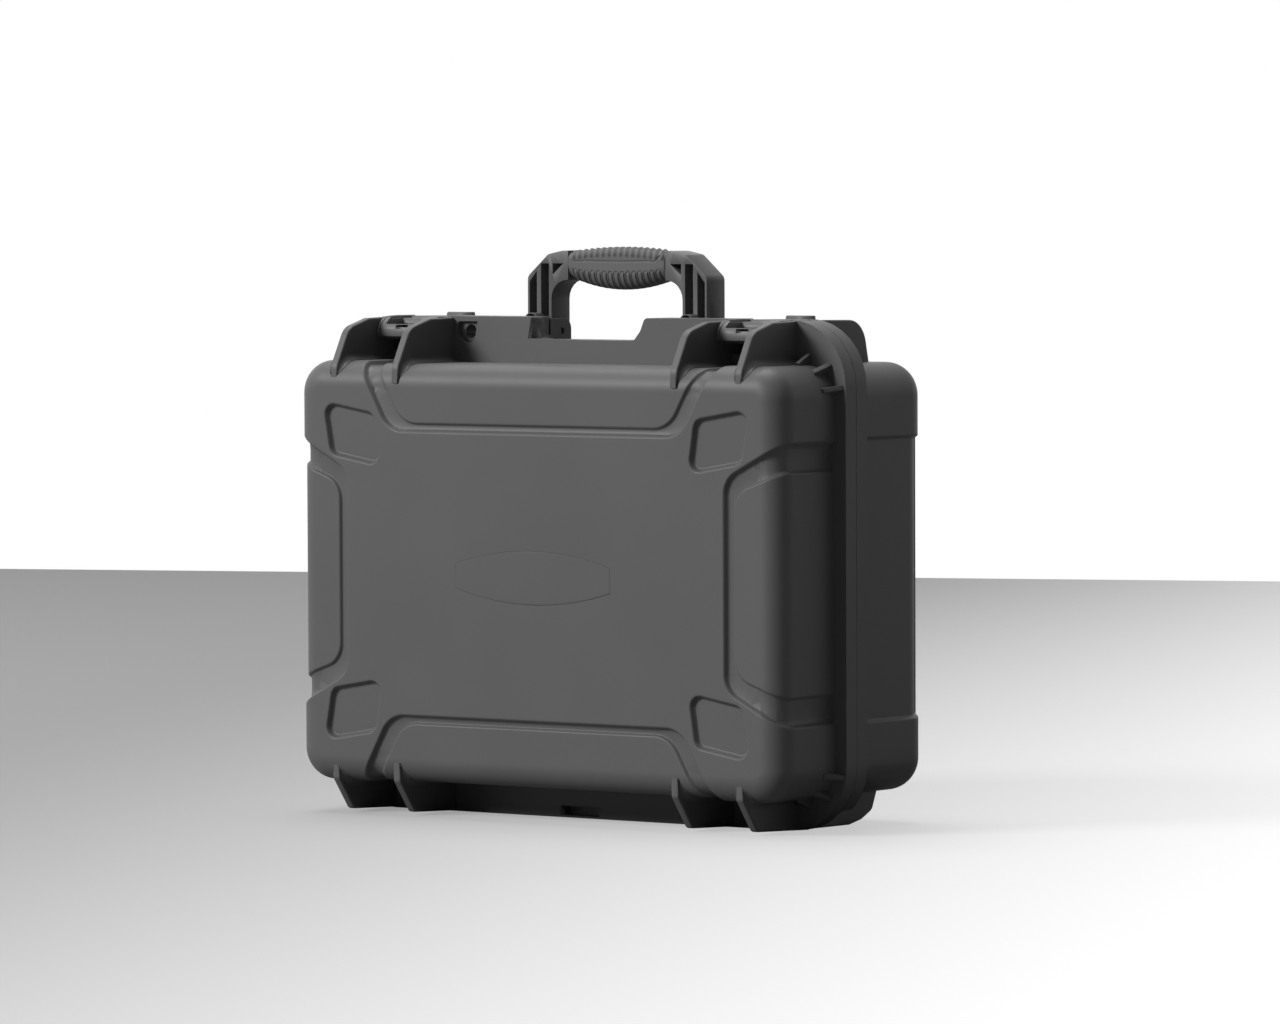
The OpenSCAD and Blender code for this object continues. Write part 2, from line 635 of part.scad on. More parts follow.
module handle_grip() color(rubber) difference() {
  union() {
    grip_body();
    for (i = [0:ridges - 1]) grip_ridge(2 * i / (ridges - 1) - 1);
  }
  grip_core(0.02);
}

module handle_pin(s) color(steel) mirror([s < 0 ? 1 : 0, 0, 0])
  rod_x(ear_in + 2.2, ear_out + ear_t - 0.5, handle_py, handle_pz, handle_pin_r);
module handle_pin_left() handle_pin(-1);
module handle_pin_right() handle_pin(1);

lid_shell();
base_shell();
seal_ring();
name_plate();
lid_foam();
laptop_foam();
accessory_foam();
back_pad();
hinge_pin_left();
hinge_pin_right();
latch_link_left();
latch_link_right();
latch_lever_left();
latch_lever_right();
link_pin_left();
link_pin_right();
lever_pin_left();
lever_pin_right();
handle_frame();
handle_grip();
handle_pin_left();
handle_pin_right();
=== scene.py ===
"""Moulded hard case for a laptop, seen from the front right, standing on its hinge side."""

import json
import math

import bmesh
import bpy
import mathutils.geometry
import numpy as np
from mathutils import Matrix, Vector

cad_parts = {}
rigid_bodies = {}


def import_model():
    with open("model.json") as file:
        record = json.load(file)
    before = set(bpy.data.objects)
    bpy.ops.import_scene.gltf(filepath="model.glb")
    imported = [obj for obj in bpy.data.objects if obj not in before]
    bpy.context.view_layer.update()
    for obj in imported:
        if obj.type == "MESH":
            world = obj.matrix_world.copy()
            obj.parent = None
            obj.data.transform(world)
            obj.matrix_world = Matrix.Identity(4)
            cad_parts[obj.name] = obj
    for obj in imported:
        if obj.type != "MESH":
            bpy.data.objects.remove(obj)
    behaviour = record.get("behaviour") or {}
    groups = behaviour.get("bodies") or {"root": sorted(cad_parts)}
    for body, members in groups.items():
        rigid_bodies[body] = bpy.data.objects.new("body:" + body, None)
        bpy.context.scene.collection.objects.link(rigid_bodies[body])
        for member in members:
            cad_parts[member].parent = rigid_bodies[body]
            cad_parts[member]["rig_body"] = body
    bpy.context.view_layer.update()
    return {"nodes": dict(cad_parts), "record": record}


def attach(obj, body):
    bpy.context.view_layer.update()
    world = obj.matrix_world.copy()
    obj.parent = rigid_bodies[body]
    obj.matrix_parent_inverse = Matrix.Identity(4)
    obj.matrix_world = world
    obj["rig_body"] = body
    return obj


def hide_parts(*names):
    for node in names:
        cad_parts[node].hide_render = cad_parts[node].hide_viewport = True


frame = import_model()
nodes = frame["nodes"]
MM = 0.001

# sizes of the case in millimetres, as in the CAD model
TOP_Z, MID_Z = 366.0, 179.0
LID_D, BASE_D, FOOT_H = 81.0, 103.0, 3.5
FACE_Y = -(LID_D + BASE_D + FOOT_H) / 2
PART_Y = FACE_Y + LID_D

# distances in metres at which points are welded, and the bend below which faces count as one
WELD, FINE_WELD = 0.00002, 2e-6
FLAT = math.radians(0.6)


# materials
BROAD_SCALE, FLOW_SCALE = 9.0, 55.0
NOISE_LOW, NOISE_HIGH = 0.3, 0.7


def grain_group():
    """Fine moulded texture: a height, a tone and a roughness that vary over the surface."""
    g = bpy.data.node_groups.new("moulded_grain", "ShaderNodeTree")
    number, colour = "NodeSocketFloat", "NodeSocketColor"
    given = (("Grain size", number, 2600.0), ("Tone spread", number, 0.04), ("Roughness", number, 0.5),
             ("Roughness spread", number, 0.06), ("Colour", colour, (0.1, 0.1, 0.1, 1.0)))
    for name, kind, value in given:
        socket = g.interface.new_socket(name, in_out="INPUT", socket_type=kind)
        socket.default_value = value
    for name, kind in (("Colour", colour), ("Roughness", number), ("Height", number)):
        g.interface.new_socket(name, in_out="OUTPUT", socket_type=kind)
    n, l = g.nodes, g.links
    gin, gout = n.new("NodeGroupInput"), n.new("NodeGroupOutput")
    tex = n.new("ShaderNodeTexCoord")
    fine, broad, flow = (n.new("ShaderNodeTexNoise") for _ in range(3))
    fine.inputs["Detail"].default_value = 3.0
    broad.inputs["Scale"].default_value = BROAD_SCALE
    broad.inputs["Detail"].default_value = 3.0
    flow.inputs["Scale"].default_value = FLOW_SCALE
    flow.inputs["Detail"].default_value = 2.0
    l.new(gin.outputs["Grain size"], fine.inputs["Scale"])
    for t in (fine, broad, flow):
        l.new(tex.outputs["Object"], t.inputs["Vector"])
    tone = n.new("ShaderNodeMapRange")
    tone.inputs["From Min"].default_value = NOISE_LOW
    tone.inputs["From Max"].default_value = NOISE_HIGH
    low, high = n.new("ShaderNodeMath"), n.new("ShaderNodeMath")
    low.operation, high.operation = "SUBTRACT", "ADD"
    low.inputs[0].default_value = high.inputs[0].default_value = 1.0
    l.new(gin.outputs["Tone spread"], low.inputs[1])
    l.new(gin.outputs["Tone spread"], high.inputs[1])
    l.new(broad.outputs["Fac"], tone.inputs["Value"])
    l.new(low.outputs[0], tone.inputs["To Min"])
    l.new(high.outputs[0], tone.inputs["To Max"])
    tint = n.new("ShaderNodeVectorMath")
    tint.operation = "SCALE"
    l.new(gin.outputs["Colour"], tint.inputs[0])
    l.new(tone.outputs["Result"], tint.inputs["Scale"])
    l.new(tint.outputs["Vector"], gout.inputs["Colour"])
    spread = n.new("ShaderNodeMath")
    spread.operation = "MULTIPLY_ADD"
    centre = n.new("ShaderNodeMath")
    centre.operation = "SUBTRACT"
    centre.inputs[1].default_value = 0.5
    l.new(flow.outputs["Fac"], centre.inputs[0])
    l.new(centre.outputs[0], spread.inputs[0])
    l.new(gin.outputs["Roughness spread"], spread.inputs[1])
    l.new(gin.outputs["Roughness"], spread.inputs[2])
    l.new(spread.outputs[0], gout.inputs["Roughness"])
    l.new(fine.outputs["Fac"], gout.inputs["Height"])
    return g


GRAIN = grain_group()


def finish(name, colour, roughness, grain, bump, tone=0.04, depth=0.0001, metallic=0.0, sheen=0.0,
           specular=0.5):
    """A Principled material whose colour, roughness and bump come from the grain group."""
    m = bpy.data.materials.new(name)
    m.use_nodes = True
    n, l = m.node_tree.nodes, m.node_tree.links
    shader = n["Principled BSDF"]
    g = n.new("ShaderNodeGroup")
    g.node_tree = GRAIN
    g.inputs["Grain size"].default_value = grain
    g.inputs["Tone spread"].default_value = tone
    g.inputs["Roughness"].default_value = roughness
    g.inputs["Colour"].default_value = (*colour, 1.0)
    relief = n.new("ShaderNodeBump")
    relief.inputs["Strength"].default_value = bump
    relief.inputs["Distance"].default_value = depth
    l.new(g.outputs["Colour"], shader.inputs["Base Color"])
    l.new(g.outputs["Roughness"], shader.inputs["Roughness"])
    l.new(g.outputs["Height"], relief.inputs["Height"])
    l.new(relief.outputs["Normal"], shader.inputs["Normal"])
    shader.inputs["Metallic"].default_value = metallic
    shader.inputs["Sheen Weight"].default_value = sheen
    shader.inputs["Specular IOR Level"].default_value = specular
    return m


SHELL = finish("satin_shell", (0.112, 0.112, 0.114), 0.46, grain=2200.0, bump=0.12, specular=0.24)
LATCH = finish("satin_latch", (0.12, 0.12, 0.122), 0.42, grain=2600.0, bump=0.08, specular=0.26)
GRIP = finish("soft_grip", (0.13, 0.13, 0.132), 0.62, grain=3000.0, bump=0.15, specular=0.25)
SEAL = finish("seal_rubber", (0.022, 0.022, 0.023), 0.55, grain=1800.0, bump=0.1)
FOAM = finish("open_foam", (0.03, 0.03, 0.032), 0.95, grain=900.0, bump=0.9, tone=0.12, depth=0.0009,
              sheen=0.15)
PIN = finish("bright_pin", (0.6, 0.6, 0.61), 0.3, grain=900.0, bump=0.05, metallic=1.0)

SLOT_OF = {"shell_grey": SHELL, "latch_grey": LATCH, "grip_rubber": GRIP, "seal_rubber": SEAL,
           "foam_black": FOAM, "pin_steel": PIN}
node_slot = {s["node"]: s["material_slot"] for s in frame["record"]["subparts"]}
for name, o in nodes.items():
    o.data.materials.clear()
    o.data.materials.append(SLOT_OF[node_slot[name]])


# pieces
def add(name, mesh, node):
    """Makes an object of a mesh, riding where the CAD node rides and standing in for it."""
    o = bpy.data.objects.new(name, mesh)
    bpy.context.scene.collection.objects.link(o)
    mesh.materials.clear()
    mesh.materials.append(SLOT_OF[node_slot[node]])
    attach(o, nodes[node]["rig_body"])
    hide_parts(node)
    return o


SOFT_SHARP, MOULD_SHARP = math.radians(35), math.radians(40)


def cut_by(o, tools):
    """Cuts a list of closed meshes from an object by modifiers."""
    for tool in tools:
        bm = bmesh.new()
        bm.from_mesh(tool)
        bmesh.ops.remove_doubles(bm, verts=bm.verts, dist=FINE_WELD)
        bm.to_mesh(tool)
        bm.free()
        cutter = bpy.data.objects.new("cutter", tool)
        bpy.context.scene.collection.objects.link(cutter)
        m = o.modifiers.new("cut", "BOOLEAN")
        m.operation, m.object, m.solver = "DIFFERENCE", cutter, "EXACT"


def evaluated(o):
    """The plain mesh that an object's modifiers make. Their cutters are removed."""
    plain = bpy.data.meshes.new_from_object(o.evaluated_get(bpy.context.evaluated_depsgraph_get()))
    for m in o.modifiers:
        if m.type == "BOOLEAN":
            bpy.data.objects.remove(m.object)
    return plain


def softened(node, name, width, angle=30, tools=()):
    """A copy of a CAD node, its loose triangles merged, cut by tools, and its edges rounded."""
    bm = bmesh.new()
    bm.from_mesh(nodes[node].data)
    bmesh.ops.remove_doubles(bm, verts=bm.verts, dist=WELD)
    bmesh.ops.dissolve_limit(bm, angle_limit=FLAT, verts=bm.verts, edges=bm.edges)
    mesh = bpy.data.meshes.new(name)
    bm.to_mesh(mesh)
    bm.free()
    o = bpy.data.objects.new(name, mesh)
    bpy.context.scene.collection.objects.link(o)
    cut_by(o, tools)
    edge = o.modifiers.new("edge", "BEVEL")
    edge.width, edge.segments = width * MM, 2
    edge.limit_method, edge.angle_limit = "ANGLE", math.radians(angle)
    edge.use_clamp_overlap = True
    edge.miter_outer = "MITER_ARC"
    plain = evaluated(o)
    bpy.data.objects.remove(o)
    plain.name = name
    plain.shade_smooth()
    plain.set_sharp_from_angle(angle=SOFT_SHARP)
    return add(name, plain, node)


# outlines, in millimetres
def soft(points, steps=6):
    """Corner points (x, y, radius) as a polygon whose corners are arcs."""
    out = []
    count = len(points)
    for i, (x, y, r) in enumerate(points):
        b = np.array((x, y), float)
        if r <= 0:
            out.append(b)
            continue
        u = np.array(points[i - 1][:2]) - b
        v = np.array(points[(i + 1) % count][:2]) - b
        u, v = u / np.linalg.norm(u), v / np.linalg.norm(v)
        half = math.acos(np.clip(u @ v, -1.0, 1.0)) / 2
        centre = b + (u + v) / np.linalg.norm(u + v) * r / math.sin(half)
        start, end = b + u * r / math.tan(half) - centre, b + v * r / math.tan(half) - centre
        a0 = math.atan2(start[1], start[0])
        turn = (math.atan2(end[1], end[0]) - a0 + math.pi) % (2 * math.pi) - math.pi
        out += [centre + r * np.array((math.cos(a0 + turn * k / steps), math.sin(a0 + turn * k / steps)))
                for k in range(steps + 1)]
    return np.array(out)


def area(loop):
    """Area of a closed outline, negative if it runs clockwise."""
    x, y = loop[:, 0], loop[:, 1]
    return 0.5 * float(np.sum(x * np.roll(y, -1) - np.roll(x, -1) * y))


def distance(points, loop, closed=True):
    """Signed distance of points to a polygon, positive inside, or plain distance to an open line."""
    ends = np.roll(loop, -1, 0) if closed else loop[1:]
    starts = loop if closed else loop[:-1]
    best = np.full(len(points), 1e9)
    inside = np.zeros(len(points), bool)
    for p, q in zip(starts, ends):
        d = q - p
        t = np.clip(((points - p) @ d) / max(d @ d, 1e-12), 0, 1)
        best = np.minimum(best, np.linalg.norm(points - p - t[:, None] * d, axis=1))
        crosses = (p[1] > points[:, 1]) != (q[1] > points[:, 1])
        with np.errstate(divide="ignore", invalid="ignore"):
            inside ^= crosses & (points[:, 0] < (q[0] - p[0]) * (points[:, 1] - p[1]) / (q[1] - p[1]) + p[0])
    return np.where(inside, best, -best) if closed else best


def resampled(line, pitch, closed):
    """A line with its points spaced evenly, about one pitch apart."""
    if closed:
        line = np.vstack((line, line[:1]))
    length = np.concatenate(([0.0], np.cumsum(np.linalg.norm(np.diff(line, axis=0), axis=1))))
    count = max(2, int(length[-1] / pitch))
    at = np.linspace(0, length[-1], count + 1)[: count if closed else count + 1]
    return np.stack([np.interp(at, length, line[:, k]) for k in (0, 1)], 1)


def moved(line, gap, closed):
    """A smooth line moved sideways by gap, to the left of its direction."""
    if closed:
        tangent = np.roll(line, -1, 0) - np.roll(line, 1, 0)
    else:
        tangent = np.gradient(line, axis=0)
    tangent /= np.linalg.norm(tangent, axis=1)[:, None]
    return line + gap * np.stack((-tangent[:, 1], tangent[:, 0]), 1)


# plates with rounded edges
SMALL_BEVEL, SHARP_EDGE = 0.7, 0.01


def slab(loops, lo, hi, bevel, axis):
    """A plate between lo and hi along an axis, with rounded edges. The first loop is its rim, the rest
    are holes."""
    data = bpy.data.curves.new("slab", "CURVE")
    data.dimensions = "2D"
    data.fill_mode = "BOTH"
    for k, loop in enumerate(loops):
        loop = np.asarray(loop, float)[:, :2]
        if (area(loop) > 0) != (k == 0):
            loop = loop[::-1]
        count = len(loop)
        line = data.splines.new("POLY")
        line.points.add(count - 1)
        line.points.foreach_set("co", np.column_stack((loop * MM, np.zeros(count), np.ones(count))).ravel())
        line.use_cyclic_u = True
    data.extrude = ((hi - lo) / 2 - bevel) * MM
    data.bevel_depth = bevel * MM
    data.bevel_resolution = 1 if bevel < SMALL_BEVEL else 2
    data.offset = -bevel * MM
    o = bpy.data.objects.new("slab", data)
    bpy.context.scene.collection.objects.link(o)
    mesh = bpy.data.meshes.new_from_object(o.evaluated_get(bpy.context.evaluated_depsgraph_get()))
    bpy.data.objects.remove(o)
    bpy.data.curves.remove(data)
    mid = (lo + hi) / 2 * MM
    place = {"y": Matrix(((1, 0, 0, 0), (0, 0, -1, mid), (0, 1, 0, 0), (0, 0, 0, 1))),
             "x": Matrix(((0, 0, 1, mid), (1, 0, 0, 0), (0, 1, 0, 0), (0, 0, 0, 1))),
             "z": Matrix(((1, 0, 0, 0), (0, 1, 0, 0), (0, 0, 1, mid), (0, 0, 0, 1)))}[axis]
    mesh.transform(place)
    return mesh


def merged(parts, name):
    """Joins meshes to one, welds each, and evens the normals so that flat faces shade flat."""
    bm = bmesh.new()
    for mesh in parts:
        part = bmesh.new()
        part.from_mesh(mesh)
        bmesh.ops.remove_doubles(part, verts=part.verts, dist=FINE_WELD)
        part.to_mesh(mesh)
        part.free()
        bm.from_mesh(mesh)
        bpy.data.meshes.remove(mesh)
    mesh = bpy.data.meshes.new(name)
    bm.to_mesh(mesh)
    bm.free()
    mesh.shade_smooth()
    mesh.set_sharp_from_angle(angle=MOULD_SHARP)
    o = bpy.data.objects.new(name, mesh)
    bpy.context.scene.collection.objects.link(o)
    even = o.modifiers.new("even", "WEIGHTED_NORMAL")
    even.keep_sharp = True
    plain = bpy.data.meshes.new_from_object(o.evaluated_get(bpy.context.evaluated_depsgraph_get()))
    bpy.data.objects.remove(o)
    plain.name = name
    return plain


def mirrored(mesh, axis):
    """A mirrored copy of a mesh, with its faces turned to point outwards again."""
    copy = mesh.copy()
    scale = Matrix.Identity(4)
    scale[axis][axis] = -1
    copy.transform(scale)
    copy.flip_normals()
    return copy


def both_sides(mesh):
    """A mesh and its mirror image on the other side of the case."""
    return [mesh, mirrored(mesh, 0)]


# moulded bowls
BODY_HW, BODY_HH, CORNER = 221.0, 155.0, 24.0
WALL, RIM = 6.4, 13.0
LID_EDGE, BASE_EDGE = 18.0, 20.0
LID_RIM, BASE_RIM = PART_Y - RIM, PART_Y + RIM
BACK_Y = PART_Y + BASE_D
FIN_IN, FIN_OUT, FIN_T = 127.0, 184.3, 6.5
# spare rows of points beside the rounding, and least distance between the points of a line on it
EASE, LINE_PITCH = 1.5, 1.1


def smooth(v, lo, hi):
    """A soft step from 0 at lo to 1 at hi."""
    t = np.clip((v - lo) / (hi - lo), 0, 1)
    return t * t * (3 - 2 * t)


class Bowl:
    """A rounded tray seen face on. Points are laid out flat, as if its sides were unrolled, and then
    folded back over the rounded edge. inset moves them into the wall along the surface normal."""

    def __init__(self, edge, depth, inset=0.0):
        self.edge, self.corner = edge - inset, CORNER - inset
        self.bx, self.bz = BODY_HW - CORNER, BODY_HH - CORNER
        self.flat = self.corner - self.edge
        self.quarter = self.edge * math.pi / 2
        self.reach = self.quarter + depth - edge
        self.inset = inset

    def split(self, p):
        near = np.clip(p, (-self.bx, -self.bz), (self.bx, self.bz))
        away = p - near
        rho = np.linalg.norm(away, axis=1)
        return near, away / np.maximum(rho, 1e-9)[:, None], rho

    def unroll(self, xz):
        """Face-on points to flat points."""
        near, out, rho = self.split(xz)
        a = self.edge * np.arcsin(np.clip((rho - self.flat) / self.edge, 0, 1))
        return np.where((rho > self.flat)[:, None], near + out * (self.flat + a)[:, None], xz)

    def fold(self, uv):
        """Flat points to face-on points, depth behind the face, and outward normals (x, depth, z)."""
        near, out, rho = self.split(uv)
        a = rho - self.flat
        turn = np.clip(a / self.edge, 0, math.pi / 2)
        xz = np.where((a > 0)[:, None], near + out * (self.flat + self.edge * np.sin(turn))[:, None], uv)
        depth = np.where(a > 0, self.edge * (1 - np.cos(turn)) + np.maximum(a - self.quarter, 0), 0)
        side = out * np.sin(turn)[:, None]
        return xz, depth + self.inset, np.stack((side[:, 0], -np.cos(turn), side[:, 1]), 1)

    def ring(self, a, pitch=7.0, steps=14):
        """The closed line at unrolled distance a from the flat face."""
        r = self.flat + a
        loop = soft([(self.bx + r, self.bz + r, max(r, 0)), (-self.bx - r, self.bz + r, max(r, 0)),
                     (-self.bx - r, -self.bz - r, max(r, 0)), (self.bx + r, -self.bz - r, max(r, 0))], steps)
        fine = []
        for p, q in zip(loop, np.roll(loop, -1, 0)):
            n = max(1, int(np.linalg.norm(q - p) / pitch))
            fine += [p + (q - p) * k / n for k in range(n)]
        return np.array(fine)

    def rings(self):
        turns = np.linspace(0, 1, 13) * self.quarter
        return [-EASE, *turns, self.quarter + EASE, self.reach - EASE, self.reach]

    def wall_line(self, line):
        """An open face-on line that leaves the face at both ends, unrolled and carried down the sides."""
        keep = self.split(line)[2] < self.corner - 1e-3
        line = line[keep]
        uv = self.unroll(line)
        spaced = [uv[0]]
        for p in uv[1:]:
            if np.linalg.norm(p - spaced[-1]) > LINE_PITCH:
                spaced.append(p)
        uv = np.array(spaced)
        ends = []
        for p in (uv[0], uv[-1]):
            near, out = (v[0] for v in self.split(p[None])[:2])
            ends.append([near + out * (self.flat + self.quarter), near + out * (self.flat + self.reach)])
        return np.vstack((ends[0][::-1], uv, ends[1]))


def bowl_mesh(bowl, lines, loops, depth_of, face, back):
    """Outer wall with its relief, plain inner wall, and the strip that joins them at the mouth."""
    verts, edges = [], []

    def put(points, closed):
        start = len(verts)
        verts.extend(Vector(p) for p in points)
        n = len(points)
        edges.extend((start + k, start + (k + 1) % n) for k in range(n if closed else n - 1))

    for a in bowl.rings():
        put(bowl.ring(a), True)
    for line in lines:
        put(bowl.wall_line(line), False)
    for loop in loops:
        put(bowl.unroll(loop), True)
    out = mathutils.geometry.delaunay_2d_cdt(verts, edges, [], 0, 1e-4)
    uv = np.array([tuple(v) for v in out[0]])
    xz, y, normal = bowl.fold(uv)
    inset = depth_of(xz)
    co = np.stack((xz[:, 0], y, xz[:, 1]), 1) - normal * inset[:, None]
    inner = Bowl(bowl.edge, bowl.reach - bowl.quarter + bowl.edge, WALL)
    rings = [inner.ring(a, 1e9, 8) for a in (0, *np.linspace(0, 1, 7)[1:] * inner.quarter, inner.reach)]
    bm = bmesh.new()

    def vert(p):
        x, d, z = p
        return bm.verts.new((x * MM, (face + (d if back > face else -d)) * MM, (z + MID_Z) * MM))

    outer = [vert(p) for p in co]
    for f in out[2]:
        bm.faces.new([outer[k] for k in f])
    inside = []
    for ring in rings:
        xz, y, _ = inner.fold(ring)
        inside.append([vert(p) for p in np.stack((xz[:, 0], y, xz[:, 1]), 1)])
    bm.faces.new(inside[0])
    for p, q in zip(inside, inside[1:]):
        n = len(p)
        for k in range(n):
            bm.faces.new((p[k], p[(k + 1) % n], q[(k + 1) % n], q[k]))
    mouth = [e for e in bm.edges if e.is_boundary]
    bmesh.ops.bridge_loops(bm, edges=mouth)
    bmesh.ops.recalc_face_normals(bm, faces=bm.faces)
    mesh = bpy.data.meshes.new("bowl")
    bm.to_mesh(mesh)
    bm.free()
    return mesh


# groove lines of the lid face, measured from its middle. A panel's line lies GROOVE_W further out than
# the line round it, and each shrink says how much another size gives way for each mm of that
GROOVE_W, BEYOND = 6.0, 30.0
TOP_LINE_Z, TOP_LINE_X, TOP_TURN, TOP_LEAN, TOP_SHRINK = 104.0, FIN_IN + 6, 23, 0.56, 1.9
SIDE_LINE_X, SIDE_LOW, SIDE_HIGH, SIDE_TURN = 180.0, BODY_HH - 80, BODY_HH - 54, 18
ELBOW, ELBOW_TURN, SIDE_END = 50.0, 6, 90.0
SIDE_SHIFT, LOW_SHRINK, HIGH_SHRINK = 1.33, 1.6, 3.0


def panel_lines():
    """Groove lines of the lid face: open chains of the top and side panels, outer then inner."""
    chains = []
    for g in (0.0, GROOVE_W):
        x, z, top = TOP_LINE_X - g * TOP_SHRINK, TOP_LINE_Z + g, BODY_HH + BEYOND
        lean = (top - z) * TOP_LEAN
        run = soft([(x + lean, top, 0), (x, z, TOP_TURN), (-x, z, TOP_TURN), (-x - lean, top, 0)], 16)
        chains.append(("top", g, run))
        x = SIDE_LINE_X + (g - GROOVE_W) * SIDE_SHIFT
        low, high = SIDE_LOW - g * LOW_SHRINK, SIDE_HIGH - g * HIGH_SHRINK
        run = soft([(x + SIDE_END, -high, 0), (x + ELBOW, -high, ELBOW_TURN), (x, -low, SIDE_TURN),
                    (x, low, SIDE_TURN), (x + ELBOW, high, ELBOW_TURN), (x + SIDE_END, high, 0)], 14)
        chains.append(("side", g, run))
    return chains


RECESS_X, RECESS_Z, RECESS_TURN = BODY_HW - 27, BODY_HH - 30, 8
RECESS_CORNERS = ((-48, -8), (0, 0), (-7, -39), (-54, -47))
PLATE_HW, PLATE_END, PLATE_BOW = 70.5, 9.0, 10.4


def recess_loop(o=0.0):
    """Outline of the upper right corner recess, grown by o."""
    grown = ((-o, o), (o, o), (o, -o), (-o, -o))
    return soft([(RECESS_X + x + gx, RECESS_Z + z + gz, RECESS_TURN)
                 for (x, z), (gx, gz) in zip(RECESS_CORNERS, grown)], 10)


def plate_loop(o=0.0):
    """Outline of the name plate, bowed above and below, grown by o."""
    t = np.linspace(-1, 1, 25)
    edge = PLATE_END + PLATE_BOW * (1 - t * t) + o
    x = t * (PLATE_HW + o)
    return np.vstack((np.stack((x, edge), 1), np.stack((x[::-1], -edge[::-1]), 1)))[::-1]


OUTER_STEP, PANEL_STEP, RECESS, PLATE_SEAT = 4.3, 1.8, 4.0, 1.0
# distances from its line between which each step goes down
OUTER_SPAN, PANEL_SPAN, RECESS_SPAN, PLATE_SPAN = (-1.0, 2.6), (-1.9, 0.8), (-0.7, 2.3), (0.0, 0.04)
# rows of points beside each line, close enough to carry its step
OUTER_ROWS = (-1.7, -1.0, -0.35, 0.3, 0.95, 1.5, 2.1, 2.6)
PANEL_ROWS = (-2.5, -1.9, -1.3, -0.7, -0.1, 0.4, 0.8, 1.5)
RECESS_ROWS = (-1.4, -0.7, -0.1, 0.5, 1.1, 1.7, 2.3, 3.0)
PLATE_GAP, FINE_PITCH, LOOP_PITCH = 0.2, 0.12, 1.4
# how far a tray's side wall reaches into its rim
OVERLAP = 3.0


def lid_relief(xz):
    """How deep each face-on point of the lid lies under the plain rounded tray."""
    folded = np.abs(xz)
    depth = np.zeros(len(xz))
    for _, g, run in panel_lines():
        s = distance(folded, run)
        if g == 0:
            depth += OUTER_STEP * smooth(s, *OUTER_SPAN)
        else:
            depth -= (OUTER_STEP - PANEL_STEP) * smooth(s, *PANEL_SPAN)
    depth += RECESS * smooth(distance(folded, recess_loop()), *RECESS_SPAN)
    depth += PLATE_SEAT * smooth(distance(xz, plate_loop(PLATE_GAP)), *PLATE_SPAN)
    return depth


def lid_bowl():
    """The lid's tray, with its grooves, four corner recesses and the seat of the name plate."""
    lines, loops = [], []
    for kind, g, run in panel_lines():
        line = resampled(run, FINE_PITCH, False)
        if kind == "side":
            line = line[::-1]
        for gap in OUTER_ROWS if g == 0 else PANEL_ROWS:
            shifted = moved(line, -gap if kind == "side" else gap, False)
            for s in (1, -1):
                lines.append(shifted * ((1, s) if kind == "top" else (s, 1)))
    for gap in RECESS_ROWS:
        loop = moved(resampled(recess_loop(), LOOP_PITCH, True), -gap, True)
        loops += [loop * (sx, sz) for sx in (1, -1) for sz in (1, -1)]
    loops += [plate_loop(PLATE_GAP), plate_loop(PLATE_GAP - PLATE_SPAN[1])]
    return bowl_mesh(Bowl(LID_EDGE, LID_D - RIM + OVERLAP), lines, loops, lid_relief, FACE_Y, PART_Y)


SIDE_RECESS_X, SIDE_RECESS_Z, SIDE_RECESS = 212.0, 100.0, 2.9
SIDE_RECESS_SPAN = (-1.0, 1.4)
SIDE_RECESS_ROWS = (-1.7, -1.0, -0.4, 0.2, 0.8, 1.4, 2.1)


def base_relief(xz):
    """How deep each face-on point of the base lies under the plain rounded tray."""
    x, z = SIDE_RECESS_X, SIDE_RECESS_Z
    recess = np.array(((x, -z), (x + 14, -z - 3), (x + 14, z + 3), (x, z)))
    return SIDE_RECESS * smooth(distance(np.abs(xz), recess), *SIDE_RECESS_SPAN)


def base_bowl():
    """The base's tray, with the long recess in each side wall."""
    x, z = SIDE_RECESS_X, SIDE_RECESS_Z
    outline = soft([(x + 20, z + 4, 0), (x, z, 2), (x, -z, 2), (x + 20, -z - 4, 0)], 8)
    run = resampled(outline, FINE_PITCH, False)
    lines = []
    for gap in SIDE_RECESS_ROWS:
        shifted = moved(run, gap, False)
        lines += [shifted, shifted * (-1, 1)]
    return bowl_mesh(Bowl(BASE_EDGE, BASE_D - RIM + OVERLAP), lines, [], base_relief, BACK_Y, PART_Y)


# rims, fins, webs and ears
BAY_MID, BAY_Z = 155.65, 341.0
HANDLE_PY, EAR_IN, EAR_OUT, EAR_T = 16.25, 54.5, 82.5, 5.0
LEVER_Y, CATCH_Z = 5.25, 345.0
MOULD_BEVEL, SUNK, RIM_CUT = 1.3, 3.2, 0.5
ROOT_TOP, ROOT_FOOT = MID_Z + BODY_HH - SUNK, MID_Z - BODY_HH + SUNK


